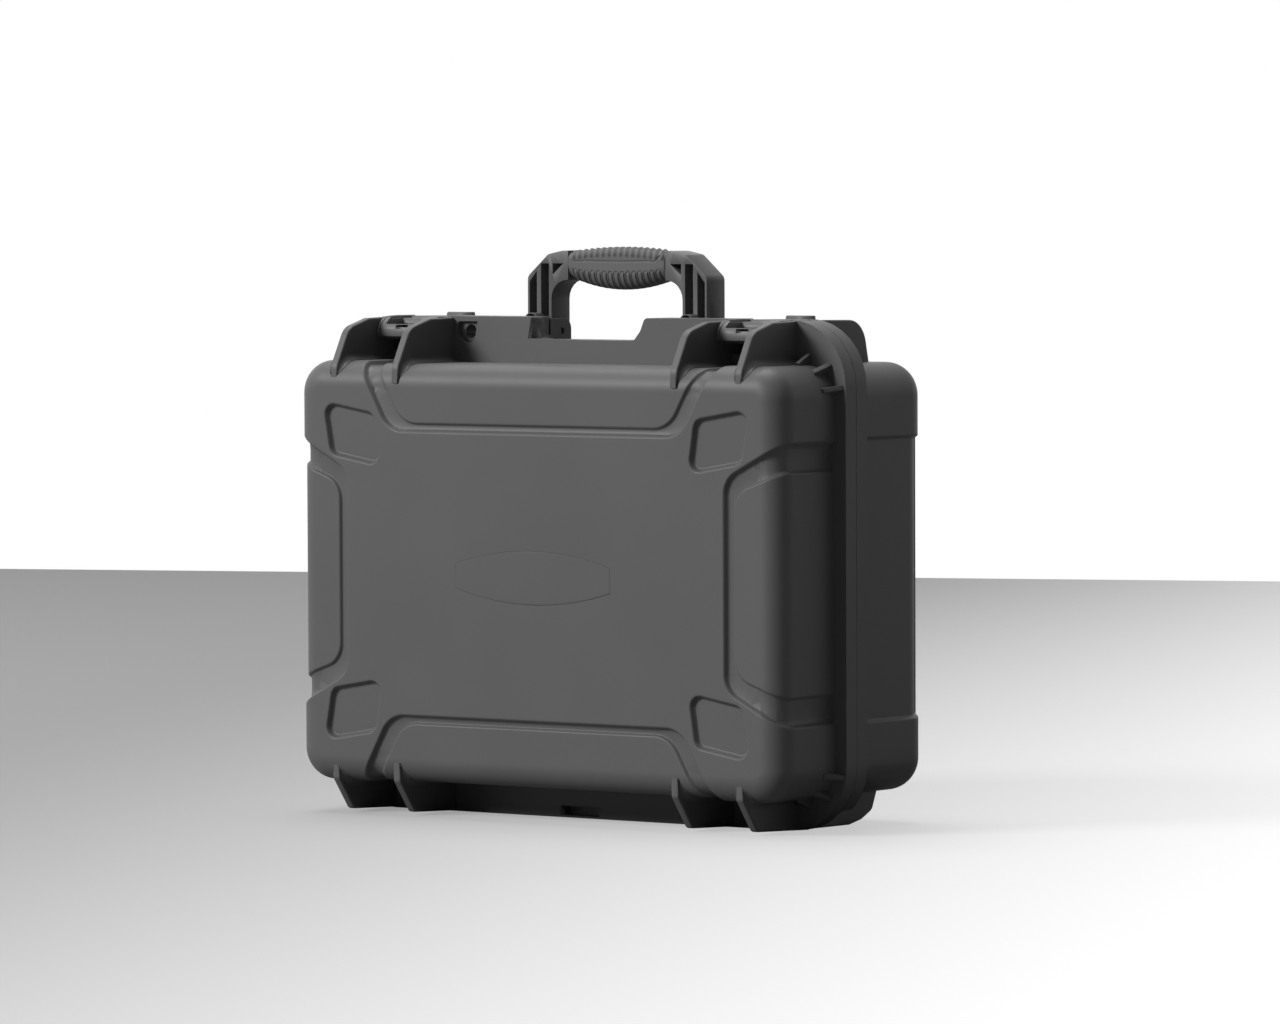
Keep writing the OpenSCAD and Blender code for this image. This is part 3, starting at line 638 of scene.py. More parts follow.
def rim_of(node, cut, face, lo_side, scoops=()):
    """The rim of a shell: its CAD node cut off at one level of Y, closed there and moved flush, cut by
    the scoops, with its edges rounded."""
    bm = bmesh.new()
    bm.from_mesh(nodes[node].data)
    bmesh.ops.remove_doubles(bm, verts=bm.verts, dist=WELD)
    geom = [*bm.verts, *bm.edges, *bm.faces]
    bmesh.ops.bisect_plane(bm, geom=geom, plane_co=(0, cut * MM, 0), plane_no=(0, 1, 0),
                           clear_inner=lo_side, clear_outer=not lo_side, dist=1e-7)
    mouth = [e for e in bm.edges if e.is_boundary]
    bmesh.ops.triangle_fill(bm, edges=mouth, use_beauty=True, normal=(0, -1 if lo_side else 1, 0))
    for v in bm.verts:
        if abs(v.co.y - cut * MM) < 1e-6:
            v.co.y = face * MM
    bmesh.ops.recalc_face_normals(bm, faces=bm.faces)
    bmesh.ops.dissolve_limit(bm, angle_limit=FLAT, verts=bm.verts, edges=bm.edges)
    mesh = bpy.data.meshes.new("rim")
    bm.to_mesh(mesh)
    bm.free()
    o = bpy.data.objects.new("rim", mesh)
    bpy.context.scene.collection.objects.link(o)
    cut_by(o, scoops)
    bevel = o.modifiers.new("edge", "BEVEL")
    bevel.width, bevel.segments = MOULD_BEVEL * MM, 3
    bevel.limit_method, bevel.angle_limit = "ANGLE", math.radians(30)
    bevel.miter_outer = "MITER_ARC"
    plain = evaluated(o)
    bpy.data.objects.remove(o)
    return plain


NOTCH_END, NOTCH_FLOOR, NOTCH_TURN, PAST_TOP = -49.0, 350.2, 3.5, 372.0
CHAMFER_X, CHAMFER_Z, CHAMFER_WIDE, CHAMFER_NARROW, CHAMFER_LONG = -46.8, 361.2, 8.6, 4.2, 22.0
FOOT_SLOT_X, FOOT_SLOT_Z, FOOT_SLOT_WALL = (-27.0, 8.0), (1.5, 8.5), 1.2


def notch_scoops():
    """Cutters for the left end of the handle notch, a hollow chamfer before it, and the slot at the foot."""
    left, right = NOTCH_END, NOTCH_END + 19
    outline = soft([(left, PAST_TOP, 0), (left, NOTCH_FLOOR, NOTCH_TURN), (right, NOTCH_FLOOR, 0),
                    (right, PAST_TOP, 0)])
    end_face = slab([outline], LID_RIM - 2, PART_Y + 2, SHARP_EDGE, "y")
    bm = bmesh.new()
    place = Matrix.Translation(Vector((CHAMFER_X, LID_RIM - 1, CHAMFER_Z)) * MM)
    bmesh.ops.create_cone(bm, cap_ends=True, segments=72, radius1=CHAMFER_WIDE * MM,
                          radius2=CHAMFER_NARROW * MM, depth=CHAMFER_LONG * MM, matrix=place)
    chamfer = bpy.data.meshes.new("scoop")
    bm.to_mesh(chamfer)
    bm.free()
    (x0, x1), (z0, z1) = FOOT_SLOT_X, FOOT_SLOT_Z
    slot = np.array(((x0, z0), (x1, z0), (x1, z1), (x0, z1)))
    return [end_face, chamfer, slab([slot], LID_RIM - 2, PART_Y - FOOT_SLOT_WALL, SHARP_EDGE, "y")]


def fin(points):
    """Both pairs of fins with one side profile of corner points (y, z, radius)."""
    loop = soft(points, 8)
    out = []
    for x in (FIN_IN, FIN_OUT):
        out += both_sides(slab([loop], x - FIN_T / 2, x + FIN_T / 2, MOULD_BEVEL, "x"))
    return out


FILLET_LIP, FILLET_R, FILLET_SUNK = 0.35, 4.2, 1.5
# share of the radius at the tip of a fillet, and how many points it takes to reach the whole
FILLET_TIP, FILLET_GROWS = 0.12, 6.0


def path_fillet(path, normal, x, side):
    """A hollow fillet between a fin's side at x and the surface it stands on, along a path in Y and Z."""
    arc = np.linspace(0, math.pi / 2, 6)
    rows = []
    for k, (p, n) in enumerate(zip(path, normal)):
        r = FILLET_R * min(1.0, FILLET_TIP + k / FILLET_GROWS)
        row = [(x + side * r * (1 - math.sin(t)), FILLET_LIP + r * (1 - math.cos(t))) for t in arc]
        row += [(x - side * FILLET_SUNK, -FILLET_SUNK), (x + side * (r + 0.15), -FILLET_SUNK)]
        rows.append([(u, p[0] + n[0] * v, p[1] + n[1] * v) for u, v in row])
    bm = bmesh.new()
    verts = [[bm.verts.new(Vector(q) * MM) for q in row] for row in rows]
    m = len(rows[0])
    for p, q in zip(verts, verts[1:]):
        for k in range(m):
            bm.faces.new((p[k], p[(k + 1) % m], q[(k + 1) % m], q[k]))
    bm.faces.new(verts[0][::-1])
    bm.faces.new(verts[-1])
    bmesh.ops.recalc_face_normals(bm, faces=bm.faces)
    mesh = bpy.data.meshes.new("fillet")
    bm.to_mesh(mesh)
    bm.free()
    return mesh


def body_path(edge, depth, start, end, top, toward):
    """Side view of the body's rounding and top line: points and outward directions in (y, z)."""
    sign = 1 if top else -1
    face = FACE_Y if toward > 0 else BACK_Y
    turns = np.linspace(math.radians(start), math.pi / 2, 16)
    r = edge - depth
    pts = [(face + toward * (edge - r * math.cos(t)), MID_Z + sign * (BODY_HH - edge + r * math.sin(t)))
           for t in turns]
    nor = [(-toward * math.cos(t), sign * math.sin(t)) for t in turns]
    for y in np.linspace(face + toward * edge, end, 6)[1:]:
        pts.append((y, MID_Z + sign * (BODY_HH - depth)))
        nor.append((0.0, sign))
    return pts, nor


def fillets(edge, start, end, toward, depth_in):
    """The fillets of a shell's fins, on both sides of each, from an angle of the rounding to a level of Y."""
    out = []
    for top in (True, False):
        for x, depth in ((FIN_IN, depth_in), (FIN_OUT, 0.0)):
            path, normal = body_path(edge, depth, start, end, top, toward)
            for side in (1, -1):
                out += both_sides(path_fillet(path, normal, x + side * FIN_T / 2, side))
    return out


FILLET_START = 26


def lid_fins():
    """The fins above and below the lid, and the fillets at their feet."""
    tip, back = FACE_Y + 1, LID_RIM + 3
    top = fin([(tip, 318, 0), (tip, 330, 12), (FACE_Y + 16, TOP_Z - 8, 14), (FACE_Y + 40, TOP_Z - 1.5, 0),
               (back, TOP_Z - 0.8, 0), (back, ROOT_TOP, 0), (FACE_Y + 14, ROOT_TOP, 0)])
    foot = fin([(tip, 40, 0), (tip, 26, 4), (FACE_Y + 18.5, 2.5, 5), (back, 0.3, 0),
                (back, ROOT_FOOT, 0), (FACE_Y + 14, ROOT_FOOT, 0)])
    return top + foot + fillets(LID_EDGE, FILLET_START, LID_RIM + 1, 1, PANEL_STEP)


def corner_rib_tree():
    """Geometry nodes that set copies of one rib round the corners of a rectangle in X and Z. A rib points
    along X from its corner's centre."""
    t = bpy.data.node_groups.new("corner_ribs", "GeometryNodeTree")
    t.interface.new_socket("Geometry", in_out="INPUT", socket_type="NodeSocketGeometry")
    for label in ("Span X", "Span Z", "Middle Z", "First angle", "Angle step"):
        t.interface.new_socket(label, in_out="INPUT", socket_type="NodeSocketFloat")
    t.interface.new_socket("Ribs per corner", in_out="INPUT", socket_type="NodeSocketInt")
    t.interface.new_socket("Material", in_out="INPUT", socket_type="NodeSocketMaterial")
    t.interface.new_socket("Geometry", in_out="OUTPUT", socket_type="NodeSocketGeometry")
    n, l = t.nodes, t.links
    given, out = n.new("NodeGroupInput"), n.new("NodeGroupOutput")

    def maths(operation, *values):
        m = n.new("ShaderNodeMath")
        m.operation = operation
        for value, socket in zip(values, m.inputs):
            l.new(value, socket)
        return m.outputs[0]

    corners = n.new("GeometryNodeMeshGrid")
    corners.inputs["Vertices X"].default_value = corners.inputs["Vertices Y"].default_value = 2
    l.new(given.outputs["Span X"], corners.inputs["Size X"])
    l.new(given.outputs["Span Z"], corners.inputs["Size Y"])
    copies = n.new("GeometryNodeDuplicateElements")
    copies.domain = "POINT"
    l.new(corners.outputs["Mesh"], copies.inputs["Geometry"])
    l.new(given.outputs["Ribs per corner"], copies.inputs["Amount"])
    place = n.new("GeometryNodeInputPosition")
    split = n.new("ShaderNodeSeparateXYZ")
    l.new(place.outputs[0], split.inputs[0])
    turn = maths("ADD", given.outputs["First angle"],
                 maths("MULTIPLY", copies.outputs["Duplicate Index"], given.outputs["Angle step"]))
    way = n.new("ShaderNodeCombineXYZ")
    l.new(maths("MULTIPLY", maths("SIGN", split.outputs["X"]), maths("COSINE", turn)), way.inputs["X"])
    l.new(maths("MULTIPLY", maths("SIGN", split.outputs["Y"]), maths("SINE", turn)), way.inputs["Z"])
    aim = n.new("FunctionNodeAlignRotationToVector")
    aim.axis, aim.pivot_axis = "X", "Y"
    l.new(way.outputs[0], aim.inputs["Vector"])
    centre = n.new("ShaderNodeCombineXYZ")
    l.new(split.outputs["X"], centre.inputs["X"])
    l.new(maths("ADD", split.outputs["Y"], given.outputs["Middle Z"]), centre.inputs["Z"])
    stood = n.new("GeometryNodeSetPosition")
    l.new(centre.outputs[0], stood.inputs["Position"])
    keep = n.new("GeometryNodeCaptureAttribute")
    keep.domain = "POINT"
    keep.capture_items.new("ROTATION", "Aim")
    l.new(copies.outputs["Geometry"], keep.inputs["Geometry"])
    l.new(aim.outputs["Rotation"], keep.inputs["Aim"])
    l.new(keep.outputs["Geometry"], stood.inputs["Geometry"])
    ribs = n.new("GeometryNodeInstanceOnPoints")
    l.new(stood.outputs["Geometry"], ribs.inputs["Points"])
    l.new(given.outputs["Geometry"], ribs.inputs["Instance"])
    l.new(keep.outputs["Aim"], ribs.inputs["Rotation"])
    real = n.new("GeometryNodeRealizeInstances")
    l.new(ribs.outputs["Instances"], real.inputs["Geometry"])
    coat = n.new("GeometryNodeSetMaterial")
    l.new(real.outputs["Geometry"], coat.inputs["Geometry"])
    l.new(given.outputs["Material"], coat.inputs["Material"])
    l.new(coat.outputs["Geometry"], out.inputs["Geometry"])
    return t


def node_made(mesh, tree, values):
    """The plain mesh a geometry node tree makes of a mesh, with its named inputs set."""
    o = bpy.data.objects.new("seed", mesh)
    bpy.context.scene.collection.objects.link(o)
    m = o.modifiers.new("nodes", "NODES")
    m.node_group = tree
    for item in tree.interface.items_tree:
        if item.in_out == "INPUT" and item.name in values:
            m[item.identifier] = values[item.name]
    plain = bpy.data.meshes.new_from_object(o.evaluated_get(bpy.context.evaluated_depsgraph_get()))
    o.modifiers.clear()
    bpy.data.objects.remove(o)
    return plain


WEB_T, WEB_BEVEL, WEB_FOOT, WEB_REACH, WEB_LONG = 3.6, 0.5, 1.5, 8.0, 15.0
WEBS_EACH, WEB_FIRST, WEB_STEP = 3, math.radians(15), math.radians(36.5)


def webs():
    """Short ribs between body and rim round the four corners."""
    inner, front, back = CORNER - 3, LID_RIM - WEB_LONG, LID_RIM + 1
    profile = np.array(((inner, front), (CORNER + WEB_FOOT, front), (CORNER + WEB_REACH, LID_RIM - 1),
                        (CORNER + WEB_REACH, back), (inner, back)))
    rib = slab([profile], -WEB_T / 2, WEB_T / 2, WEB_BEVEL, "z")
    return [node_made(rib, corner_rib_tree(), {
        "Span X": 2 * (BODY_HW - CORNER) * MM, "Span Z": 2 * (BODY_HH - CORNER) * MM, "Middle Z": MID_Z * MM,
        "First angle": WEB_FIRST, "Angle step": WEB_STEP, "Ribs per corner": WEBS_EACH, "Material": SHELL})]


EAR_PLATE, EAR_EDGE, EAR_SLOT_DEEP = 0.7, 0.35, 2.4
DOME_HW, DOME_TOP, DOME_END, DOME_TURN, DOME_EDGE = 6.0, 368.5, 8.6, 5.6, 0.8
CATCH_HW, CATCH_EDGE, FOOT_EDGE, FOOT_SMALLER = 18.8, 0.4, 1.0, 1.5


def base_fins():
    """The fins above and below the base."""
    root = BASE_RIM - 3
    return (fin([(root, ROOT_TOP, 0), (root, TOP_Z - 0.6, 0), (BASE_RIM + 56, TOP_Z - 1.5, 20),
                 (BASE_RIM + 64, ROOT_TOP, 0)])
            + fin([(root, 15, 0), (root, 0.3, 0), (BASE_RIM + 38, 0, 0), (BASE_RIM + 53, 3, 8),
                   (BASE_RIM + 66, 9, 6), (BASE_RIM + 74, ROOT_FOOT, 0), (root, ROOT_FOOT, 0)]))


def ears():
    """The two plates on each side that hold the handle, the inner one with a slot in its inner face."""
    root, end = BASE_RIM - 2, HANDLE_PY + 9.5
    ear = soft([(root, ROOT_TOP, 0), (root, TOP_Z - 1.5, 2), (end, TOP_Z - 1.8, 8), (end, ROOT_TOP, 0)], 8)
    y0, y1, z0, z1 = HANDLE_PY - 2.7, HANDLE_PY + 0.3, TOP_Z - 13.3, TOP_Z - 8.9
    slot = np.array(((y0, z0), (y1, z0), (y1, z1), (y0, z1)))
    return (both_sides(slab([ear, slot], EAR_IN, EAR_IN + EAR_SLOT_DEEP, EAR_EDGE, "x"))
            + both_sides(slab([ear], EAR_IN + 2, EAR_IN + EAR_T, EAR_EDGE, "x"))
            + both_sides(slab([ear], EAR_OUT, EAR_OUT + EAR_T, EAR_PLATE, "x")))


def domes():
    """The rounded stops between the ears."""
    mid = (EAR_IN + EAR_T + EAR_OUT) / 2
    root = ROOT_TOP + 1.2
    dome = soft([(mid - DOME_HW, root, 0), (mid + DOME_HW, root, 0), (mid + DOME_HW, DOME_TOP, DOME_TURN),
                 (mid - DOME_HW, DOME_TOP, DOME_TURN)], 10)
    return both_sides(slab([dome], BASE_RIM - 2, DOME_END, DOME_EDGE, "y"))


def catches():
    """The bars that the levers hook under."""
    root = BASE_RIM - 6
    bar = np.array(((root, BAY_Z), (root, CATCH_Z + 4.5), (LEVER_Y, CATCH_Z + 4.5), (LEVER_Y, CATCH_Z + 3),
                    (BASE_RIM, CATCH_Z - 3), (BASE_RIM, BAY_Z - 3)))
    return both_sides(slab([bar[::-1]], BAY_MID - CATCH_HW, BAY_MID + CATCH_HW, CATCH_EDGE, "x"))


def feet():
    """The four feet on the back, which fit the recesses of another case's lid."""
    foot = recess_loop(-FOOT_SMALLER)
    return [slab([foot * (sx, sz) + (0, MID_Z)], BACK_Y - 1, BACK_Y + FOOT_H, FOOT_EDGE, "y")
            for sx in (1, -1) for sz in (1, -1)]


lid_rim = rim_of("lid_shell", LID_RIM + RIM_CUT, LID_RIM, True, notch_scoops())
lid_parts = [lid_bowl(), lid_rim, *lid_fins(), *webs()]
add("lid_moulding", merged(lid_parts, "lid_moulding"), "lid_shell")
base_rim = rim_of("base_shell", BASE_RIM - RIM_CUT, BASE_RIM, False)
base_parts = [base_bowl(), base_rim, *base_fins(), *ears(), *domes(), *catches(), *feet()]
add("base_moulding", merged(base_parts, "base_moulding"), "base_shell")


# latches, handle and grip
LIP_HALF, LIP_MIDDLE, LIP_FOOT = 11.5, 2.5, 363.0
PAST_LEVER, PAST_LIP, TRIM_Y = 40.0, 380.0, (10.0, 40.0)


def trim_lever(o, side):
    """Narrows the finger lip of a lever above the rims to its middle part."""
    centre = side * BAY_MID + LIP_MIDDLE
    for sx in (1, -1):
        near, far = centre + sx * LIP_HALF, centre + sx * PAST_LEVER
        box = soft([(near, LIP_FOOT, 3), (near, PAST_LIP, 0), (far, PAST_LIP, 0), (far, LIP_FOOT, 0)])
        if area(box) < 0:
            box = box[::-1]
        cut_by(o, [slab([box], *TRIM_Y, SHARP_EDGE, "y")])
    plain = evaluated(o)
    o.modifiers.clear()
    o.data = plain


GRIP_W, GRIP_TOP, HANDLE_Y, HANDLE_T = 89.0, 417.0, 8.95, 22.0
RIDGES, RIDGE_PITCH, SERRATIONS = 15, 5.4, 17
# how far the grip swells past the handle, its height and top roundings, and how its ends draw in
GRIP_SWELL, GRIP_DEEP, GRIP_CROWN, BELLY, SAG = 0.6, 31.2, 1.26, 7.8, 3.2
GRIP_LOW_TURN, GRIP_HIGH_TURN, GRIP_END = 10.8, 5, 1.2
GRIP_COUNT, GRIP_STATIONS = 132, 357


def grip_section(x):
    """Closed outline of the grip in Y and Z at one place, its outward normals, and arc length from below."""
    t = x / (GRIP_W / 2)
    lo, hi = GRIP_TOP - GRIP_DEEP + BELLY * t * t, GRIP_TOP - GRIP_CROWN - SAG * t * t
    y0, y1 = HANDLE_Y - GRIP_SWELL, HANDLE_Y + HANDLE_T + GRIP_SWELL
    loop = soft([(y0, lo, GRIP_LOW_TURN), (y1, lo, GRIP_LOW_TURN), (y1, hi, GRIP_HIGH_TURN),
                 (y0, hi, GRIP_HIGH_TURN)], 20)
    loop = np.vstack((((y0 + y1) / 2, lo), np.roll(loop, -21, 0), ((y0 + y1) / 2, lo)))
    length = np.concatenate(([0.0], np.cumsum(np.linalg.norm(np.diff(loop, axis=0), axis=1))))
    at = np.linspace(0, length[-1], GRIP_COUNT, endpoint=False)
    p = np.stack([np.interp(at, length, loop[:, k]) for k in (0, 1)], 1)
    along = np.roll(p, -1, 0) - np.roll(p, 1, 0)
    along /= np.linalg.norm(along, axis=1)[:, None]
    return p, np.stack((along[:, 1], -along[:, 0]), 1), np.minimum(at, length[-1] - at)


RIDGE_R, RIDGE_REACH, RIDGE_DRAW, RIDGE_H, RIDGE_GROOVE = 1.5, 19.5, 6.0, 0.3, 0.75
PANEL_LINE, PANEL_LINE_DEEP = ((-38.6, 406.5), (35.5, 406.5), (40.5, 411.5)), 0.6
TOOTH_H, TOOTH_SLANT, TOOTH_FROM, TOOTH_LOW, TOOTH_HIGH, TOOTH_SPAN = 1.25, 0.55, -46.0, 7.5, 5.0, 0.97


def grip_relief(x, p, below):
    """Height of ridges, their outlines, the panel line and the slanted ribs on top."""
    t = x / (GRIP_W / 2)
    height = np.zeros(len(p))
    nearest = round(x / RIDGE_PITCH) * RIDGE_PITCH
    if abs(nearest) <= (RIDGES - 1) / 2 * RIDGE_PITCH + 0.1:
        reach = RIDGE_REACH - RIDGE_DRAW * (nearest / (GRIP_W / 2)) ** 2
        dx, ds = abs(x - nearest) - 0.1, below - (reach - RIDGE_R)
        outside = np.where(ds > 0, np.hypot(max(dx, 0), ds) - RIDGE_R, dx - RIDGE_R)
        height += RIDGE_H * (1 - smooth(outside, -0.35, 0.05))
        height -= RIDGE_GROOVE * smooth(outside, -0.1, 0.2) * (1 - smooth(outside, 0.45, 0.8))
    front, back = HANDLE_Y - GRIP_SWELL, HANDLE_Y + HANDLE_T + GRIP_SWELL
    side = np.minimum(abs(p[:, 0] - front), abs(p[:, 0] - back)) < GRIP_END
    near = distance(np.column_stack((np.full(len(p), x), p[:, 1])), np.array(PANEL_LINE), closed=False)
    height -= PANEL_LINE_DEEP * (1 - smooth(near, 0.15, 0.5)) * side
    top = GRIP_TOP - SAG * t * t
    over = smooth(p[:, 1], top - TOOTH_LOW, top - TOOTH_HIGH)
    slant = (x + (p[:, 0] - HANDLE_Y) * TOOTH_SLANT - TOOTH_FROM) / RIDGE_PITCH
    phase = slant - np.floor(slant)
    tooth = smooth(phase, 0.0, 0.1) * (1 - smooth(phase, 0.15, 0.75))
    half = SERRATIONS / 2
    ends = (1 - smooth(abs(slant - half - 0.6), half - 0.6, half - 0.4)) * (abs(t) < TOOTH_SPAN)
    return height + TOOTH_H * tooth * over * ends


def grip_mesh():
    """Soft grip as one closed skin, fine enough to carry its ridges."""
    stations = np.linspace(-GRIP_W / 2, GRIP_W / 2, GRIP_STATIONS)
    bm = bmesh.new()
    rows = []
    for x in stations:
        p, normal, below = grip_section(x)
        h = grip_relief(x, p, below)
        past = max(0.0, abs(x) - GRIP_W / 2 + GRIP_END) / GRIP_END
        edge = GRIP_END * (1 - math.sqrt(max(0.0, 1 - past ** 2)))
        q = p + normal * (h - edge)[:, None]
        rows.append([bm.verts.new((x * MM, a * MM, b * MM)) for a, b in q])
    n = len(rows[0])
    for a, b in zip(rows, rows[1:]):
        for k in range(n):
            bm.faces.new((a[k], b[k], b[(k + 1) % n], a[(k + 1) % n]))
    bm.faces.new(rows[0])
    bm.faces.new(rows[-1][::-1])
    bmesh.ops.recalc_face_normals(bm, faces=bm.faces)
    mesh = bpy.data.meshes.new("grip_skin")
    bm.to_mesh(mesh)
    bm.free()
    mesh.shade_smooth()
    mesh.set_sharp_from_angle(angle=math.radians(55))
    return mesh


HOOD_Y = -33.75


def hood_cuts(side):
    """Pocket in the top of a hood, behind a front lip, and the slot through that lip."""
    x = side * BAY_MID
    pocket = np.array(((HOOD_Y - 10.2, 357.4), (HOOD_Y + 7.0, 357.4), (HOOD_Y + 13.0, 370.0),
                       (HOOD_Y - 10.2, 370.0)))
    slot = np.array(((HOOD_Y - 14.0, 356.6), (HOOD_Y - 5.0, 356.6), (HOOD_Y - 5.0, 359.6),
                     (HOOD_Y - 14.0, 359.6)))
    return [slab([pocket], x - 18.0, x + 12.0, 0.01, "x"), slab([slot], x - 8.0, x + 3.0, 0.01, "x")]


for name, side in (("left", -1), ("right", 1)):
    softened("latch_link_" + name, f"latch_hood_{name}", 0.5, tools=hood_cuts(side))
    trim_lever(softened("latch_lever_" + name, f"latch_lever_{name}_soft", 0.5), side)
softened("handle_frame", "handle_bow", 0.6)
add("grip_skin", grip_mesh(), "handle_grip")


# foam, seal, plate and pins
def reach_of(node):
    """Nearest and farthest Y of a CAD node, in millimetres."""
    y = [v.co.y for v in nodes[node].data.vertices]
    return min(y) / MM, max(y) / MM


def rounded(hw, hh, r, steps=8):
    """A rounded rectangle about the middle."""
    return soft([(hw, hh, r), (-hw, hh, r), (-hw, -hh, r), (hw, -hh, r)], steps)


FOAM_ROWS = (0.4, 1.2, 2.4, 4.0, 6.5, 10.0)
FOAM_PITCH, FOAM_CLEAR, CROWN_FADE = 6.0, 11.0, 22.0


def foam_block(outer, holes, lo, hi, low_round, high_round, crown, pitch=11.0, relief=None):
    """A foam pad between two levels of Y: rounded rims, swollen faces, and relief on its far face."""
    verts, edges = [], []

    def put(points):
        start = len(verts)
        verts.extend(Vector(p) for p in points)
        edges.extend((start + k, start + (k + 1) % len(points)) for k in range(len(points)))

    def depth_in(p):
        d = distance(p, outer)
        for hole in holes:
            d = np.minimum(d, -distance(p, hole))
        return d

    for loop, side in [(outer, 1), *((h, -1) for h in holes)]:
        if area(loop) < 0:
            loop = loop[::-1]
        fine = resampled(loop, FOAM_PITCH, True)
        put(fine)
        for gap in FOAM_ROWS:
            put(moved(fine, side * gap, True))
    (x0, z0), (x1, z1) = outer.min(0), outer.max(0)
    gx, gz = np.meshgrid(np.arange(x0, x1, pitch) + pitch / 2, np.arange(z0, z1, pitch) + pitch / 2)
    grid = np.stack((gx.ravel(), gz.ravel()), 1)
    verts += [Vector(p) for p in grid[depth_in(grid) > FOAM_CLEAR]]
    out = mathutils.geometry.delaunay_2d_cdt(verts, edges, [], 0, 1e-3)
    uv = np.array([tuple(v) for v in out[0]])
    d = np.maximum(depth_in(uv), 0)

    def rim(r):
        return r - np.sqrt(np.maximum(r * r - np.maximum(r - d, 0) ** 2, 0))

    swell = crown * np.exp(-d / CROWN_FADE)
    low, high = lo + rim(low_round) + swell, hi - rim(high_round) - swell
    if relief is not None:
        high = high + relief(uv) * smooth(d, 3.0, 14.0)
    bm = bmesh.new()
    near = [bm.verts.new((p[0] * MM, y * MM, (p[1] + MID_Z) * MM)) for p, y in zip(uv, low)]
    far = [bm.verts.new((p[0] * MM, y * MM, (p[1] + MID_Z) * MM)) for p, y in zip(uv, high)]
    centres = np.array([uv[list(f)].mean(0) for f in out[2]])
    for f, keep in zip(out[2], depth_in(centres) > 0):
        if keep:
            bm.faces.new([near[k] for k in f])
            bm.faces.new([far[k] for k in f[::-1]])
    index = {v: k for k, v in enumerate(near)}
    for e in [e for e in bm.edges if e.is_boundary and e.verts[0] in index]:
        a, b = (index[v] for v in e.verts)
        bm.faces.new((near[a], near[b], far[b], far[a]))
    bmesh.ops.delete(bm, geom=[v for v in bm.verts if not v.link_faces], context="VERTS")
    bmesh.ops.recalc_face_normals(bm, faces=bm.faces)
    mesh = bpy.data.meshes.new("foam")
    bm.to_mesh(mesh)
    bm.free()
    mesh.shade_smooth()
    mesh.set_sharp_from_angle(angle=math.radians(60))
    return mesh


PEAK_PITCH, PEAK_H, PEAK_BLUNT, FOAM_GAP = 33.0, 26.0, 0.85, 0.2
FOAM_HW, FOAM_HH, FOAM_R = BODY_HW - WALL - FOAM_GAP, BODY_HH - WALL - FOAM_GAP, CORNER - WALL
POCKET_WALL, POCKET_R, WELL_HW, WELL_HH, WELL_R, WELL_X = 12.6, 8, 80, 65, 3, 100.0


def egg_crate(uv):
    """Depth of the lid foam below its peaks, rows of which run both ways."""
    rows = 1 + np.cos(2 * math.pi * uv / PEAK_PITCH)
    wave = rows[:, 0] * rows[:, 1] / 4
    return PEAK_H * (wave ** PEAK_BLUNT) - PEAK_H


def foam_pieces():
    """The foam of the lid, the laptop's frame, the tray below it and the pad on the base's floor."""
    outer = rounded(FOAM_HW, FOAM_HH, FOAM_R)
    lo, hi = reach_of("lid_foam")
    pad = add("lid_foam_waves", foam_block(outer, [], lo, hi, 11.0, 1.5, 0.6, 3.6, egg_crate), "lid_foam")
    lo, hi = reach_of("laptop_foam")
    pocket = rounded(BODY_HW - WALL - POCKET_WALL, BODY_HH - WALL - POCKET_WALL, POCKET_R)
    pad = add("laptop_foam_frame", foam_block(outer, [pocket], lo, hi, 2.5, 2.5, 0.5), "laptop_foam")
    lo, hi = reach_of("accessory_foam")
    wells = [rounded(WELL_HW, WELL_HH, WELL_R) + (s * WELL_X, 0.0) for s in (1, -1)]
    pad = add("accessory_foam_tray", foam_block(outer, wells, lo, hi, 2.5, 2.5, 0.8), "accessory_foam")
    lo, hi = reach_of("back_pad")
    pad = add("back_pad_soft", foam_block(outer, [], lo, hi, 2.5, 12.5, 0.8), "back_pad")


foam_pieces()


SEAL_HW, SEAL_ROUND, PLATE_EDGE, PIN_EDGE = 2.8, 1.3, 0.25, 0.35


def ring_loop(o):
    """The line of the seal, moved out by o."""
    return rounded(BODY_HW + o, BODY_HH + o, CORNER + o, 12) + (0, MID_Z)


bead = slab([ring_loop(SEAL_HW), ring_loop(-SEAL_HW)], *reach_of("seal_ring"), SEAL_ROUND, "y")
add("seal_bead", merged([bead], "seal_bead"), "seal_ring")
plate = slab([plate_loop() + (0, MID_Z)], *reach_of("name_plate"), PLATE_EDGE, "y")
add("blank_plate", merged([plate], "blank_plate"), "name_plate")
for name in ("hinge_pin", "link_pin", "lever_pin", "handle_pin"):
    for side in ("left", "right"):
        softened(f"{name}_{side}", f"{name}_{side}_turned", PIN_EDGE, angle=50)


# stage
FLOOR_COLOUR = 0.24
# painted pool of light on the floor, seen by the camera only: the direction in which it brightens, the span
# over which it rises, and its least and most strength
PAINTED_LIGHT_SLOPE, PAINTED_LIGHT_SPAN, PAINTED_LIGHT_LEVELS = (0.92, 0.393, 0.0), (-0.761, 1.036), (0.114, 0.894)
ROOM_LIGHT = 0.03
# in metres: the straight edge at which the table top ends behind the case, and its reach
EDGE_ALONG, EDGE_AT, FLOOR_REACH = (0.926, 0.378, 0.0), (-2.653, 2.416, 0.0), 6.0


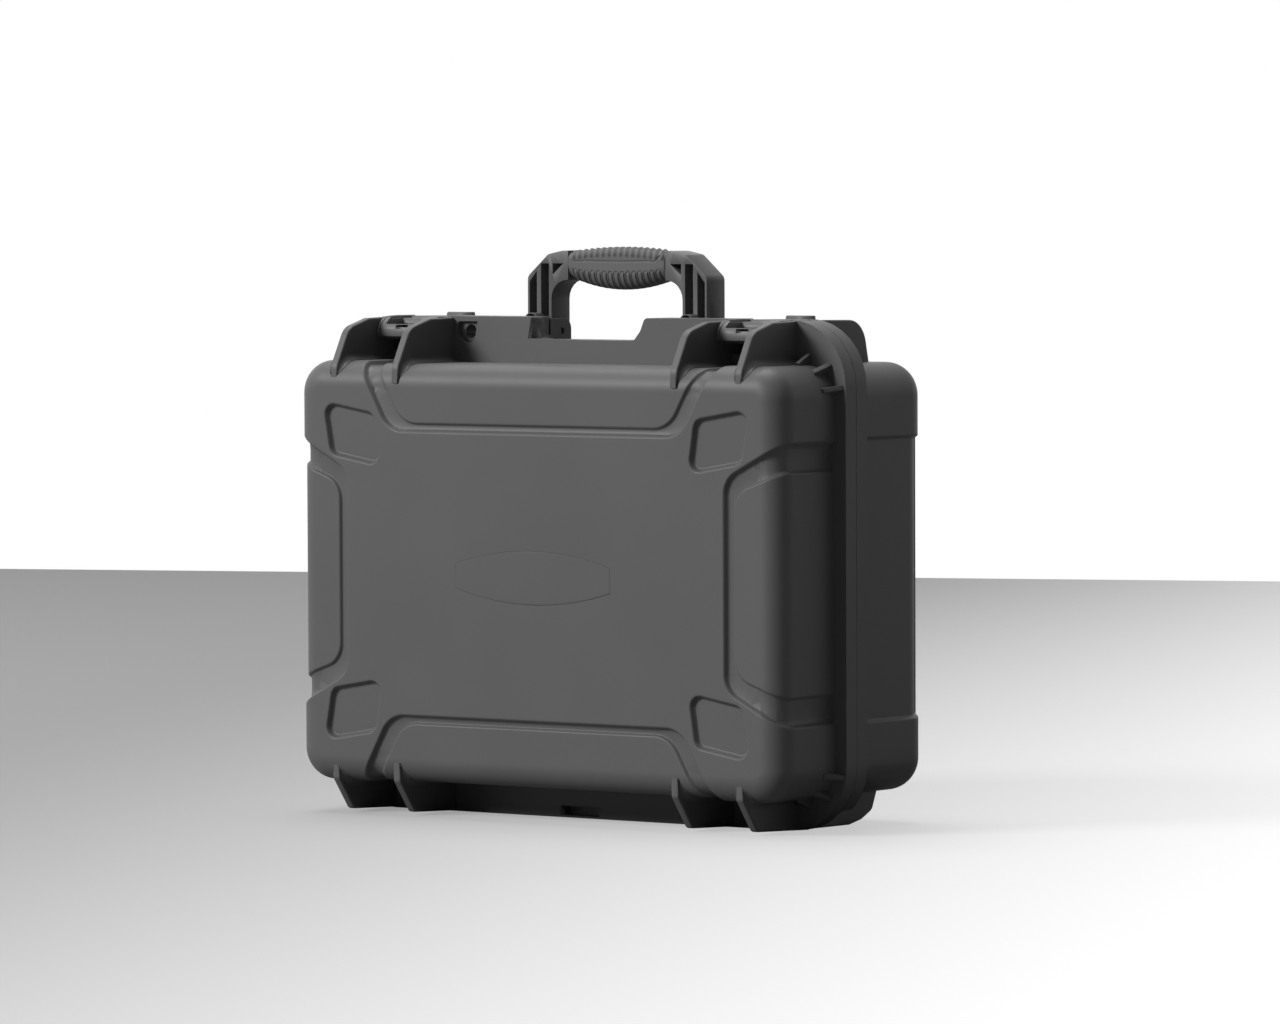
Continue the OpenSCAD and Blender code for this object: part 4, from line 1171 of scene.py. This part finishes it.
def stage():
    """Pale table top that ends behind the case, with a painted pool of light that glows for the camera only
    and is brighter to the front right, and white behind it.
    """
    along, back = Vector(EDGE_ALONG), Vector(EDGE_AT)
    near = -FLOOR_REACH
    corners = [back - along * FLOOR_REACH, Vector((-2.0, near, 0.0)), Vector((FLOOR_REACH, near, 0.0)),
               back + along * 9]
    mesh = bpy.data.meshes.new("floor")
    mesh.from_pydata([tuple(c) for c in corners], [], [(0, 1, 2, 3)])
    floor = bpy.data.objects.new("floor", mesh)
    bpy.context.scene.collection.objects.link(floor)
    m = bpy.data.materials.new("floor_paper")
    m.use_nodes = True
    n, l = m.node_tree.nodes, m.node_tree.links
    shader = n["Principled BSDF"]
    shader.inputs["Roughness"].default_value = 0.8
    shader.inputs["Specular IOR Level"].default_value = 0.1
    shader.inputs["Base Color"].default_value = (FLOOR_COLOUR, FLOOR_COLOUR, FLOOR_COLOUR, 1.0)
    shader.inputs["Emission Color"].default_value = (1.0, 1.0, 1.0, 1.0)
    # painted light: for camera rays the floor glows, brighter to the front right, in place of the light that
    # falls on it
    place = n.new("ShaderNodeTexCoord")
    slope = n.new("ShaderNodeVectorMath")
    slope.operation = "DOT_PRODUCT"
    slope.inputs[1].default_value = PAINTED_LIGHT_SLOPE
    painted_light = n.new("ShaderNodeMapRange")
    painted_light.interpolation_type = "SMOOTHSTEP"
    painted_light.inputs["From Min"].default_value, painted_light.inputs["From Max"].default_value = PAINTED_LIGHT_SPAN
    painted_light.inputs["To Min"].default_value, painted_light.inputs["To Max"].default_value = PAINTED_LIGHT_LEVELS
    seen = n.new("ShaderNodeLightPath")
    only_seen = n.new("ShaderNodeMath")
    only_seen.operation = "MULTIPLY"
    l.new(place.outputs["Object"], slope.inputs[0])
    l.new(slope.outputs["Value"], painted_light.inputs["Value"])
    l.new(painted_light.outputs["Result"], only_seen.inputs[0])
    l.new(seen.outputs["Is Camera Ray"], only_seen.inputs[1])
    l.new(only_seen.outputs[0], shader.inputs["Emission Strength"])
    mesh.materials.append(m)
    world = bpy.data.worlds.new("studio")
    bpy.context.scene.world = world
    world.use_nodes = True
    n, l = world.node_tree.nodes, world.node_tree.links
    sky = n["Background"]
    sky.inputs["Color"].default_value = (1.0, 1.0, 1.0, 1.0)
    path = n.new("ShaderNodeLightPath")
    seen = path.outputs["Is Camera Ray"]
    for ray in ("Is Glossy Ray", "Is Transmission Ray"):
        both = n.new("ShaderNodeMath")
        both.operation = "MAXIMUM"
        l.new(seen, both.inputs[0])
        l.new(path.outputs[ray], both.inputs[1])
        seen = both.outputs[0]
    mix = n.new("ShaderNodeMapRange")
    mix.inputs["To Min"].default_value = ROOM_LIGHT
    mix.inputs["To Max"].default_value = 1.0
    l.new(seen, mix.inputs["Value"])
    l.new(mix.outputs["Result"], sky.inputs["Strength"])


def lamp(name, place, size, watts):
    """A square soft light aimed at the middle of the case."""
    data = bpy.data.lights.new(name, "AREA")
    data.shape = "RECTANGLE"
    data.size = data.size_y = size
    data.energy = watts
    o = bpy.data.objects.new(name, data)
    bpy.context.scene.collection.objects.link(o)
    o.location = place
    o.rotation_euler = (Vector(LAMP_AIM) - Vector(place)).to_track_quat("-Z", "Y").to_euler()


LAMP_AIM = (0.0, 0.0, 0.2)
stage()
lamp("key", (-3.4, -5.6, 3.6), 2.4, 465.0)
lamp("top", (-1.2, 0.6, 5.2), 3.0, 175.0)


def camera():
    """The photograph's view: azimuth, elevation, roll and distance from fitted points."""
    az, el, roll = math.radians(37.3), math.radians(3.46), math.radians(0.25)
    scale, far = 1.384083, 5747.0
    picture_px, shift_px, origin_px = (1280.0, 1024.0), (588.5, 635.0), (-56.26, 56.98)
    right = Vector((math.cos(az), math.sin(az), 0.0))
    back = Vector((math.sin(az) * math.cos(el), -math.cos(az) * math.cos(el), math.sin(el)))
    up = back.cross(right)
    eye = Vector((0.0, FACE_Y, MID_Z)) + back * far
    eye -= right * (origin_px[0] / scale) + up * (origin_px[1] / scale)
    turned_right = right * math.cos(roll) - up * math.sin(roll)
    turned_up = back.cross(turned_right)
    data = bpy.data.cameras.new("photo_view")
    data.sensor_width = 36.0
    data.lens = scale * far / picture_px[0] * data.sensor_width
    data.shift_x = (picture_px[0] / 2 - shift_px[0]) / picture_px[0]
    data.shift_y = (shift_px[1] - picture_px[1] / 2) / picture_px[0]
    data.clip_end = 100.0
    o = bpy.data.objects.new("photo_view", data)
    bpy.context.scene.collection.objects.link(o)
    m = Matrix((turned_right, turned_up, back)).transposed().to_4x4()
    m.translation = eye * MM
    o.matrix_world = m
    bpy.context.scene.camera = o


camera()
bpy.context.scene.view_settings.view_transform = "Standard"
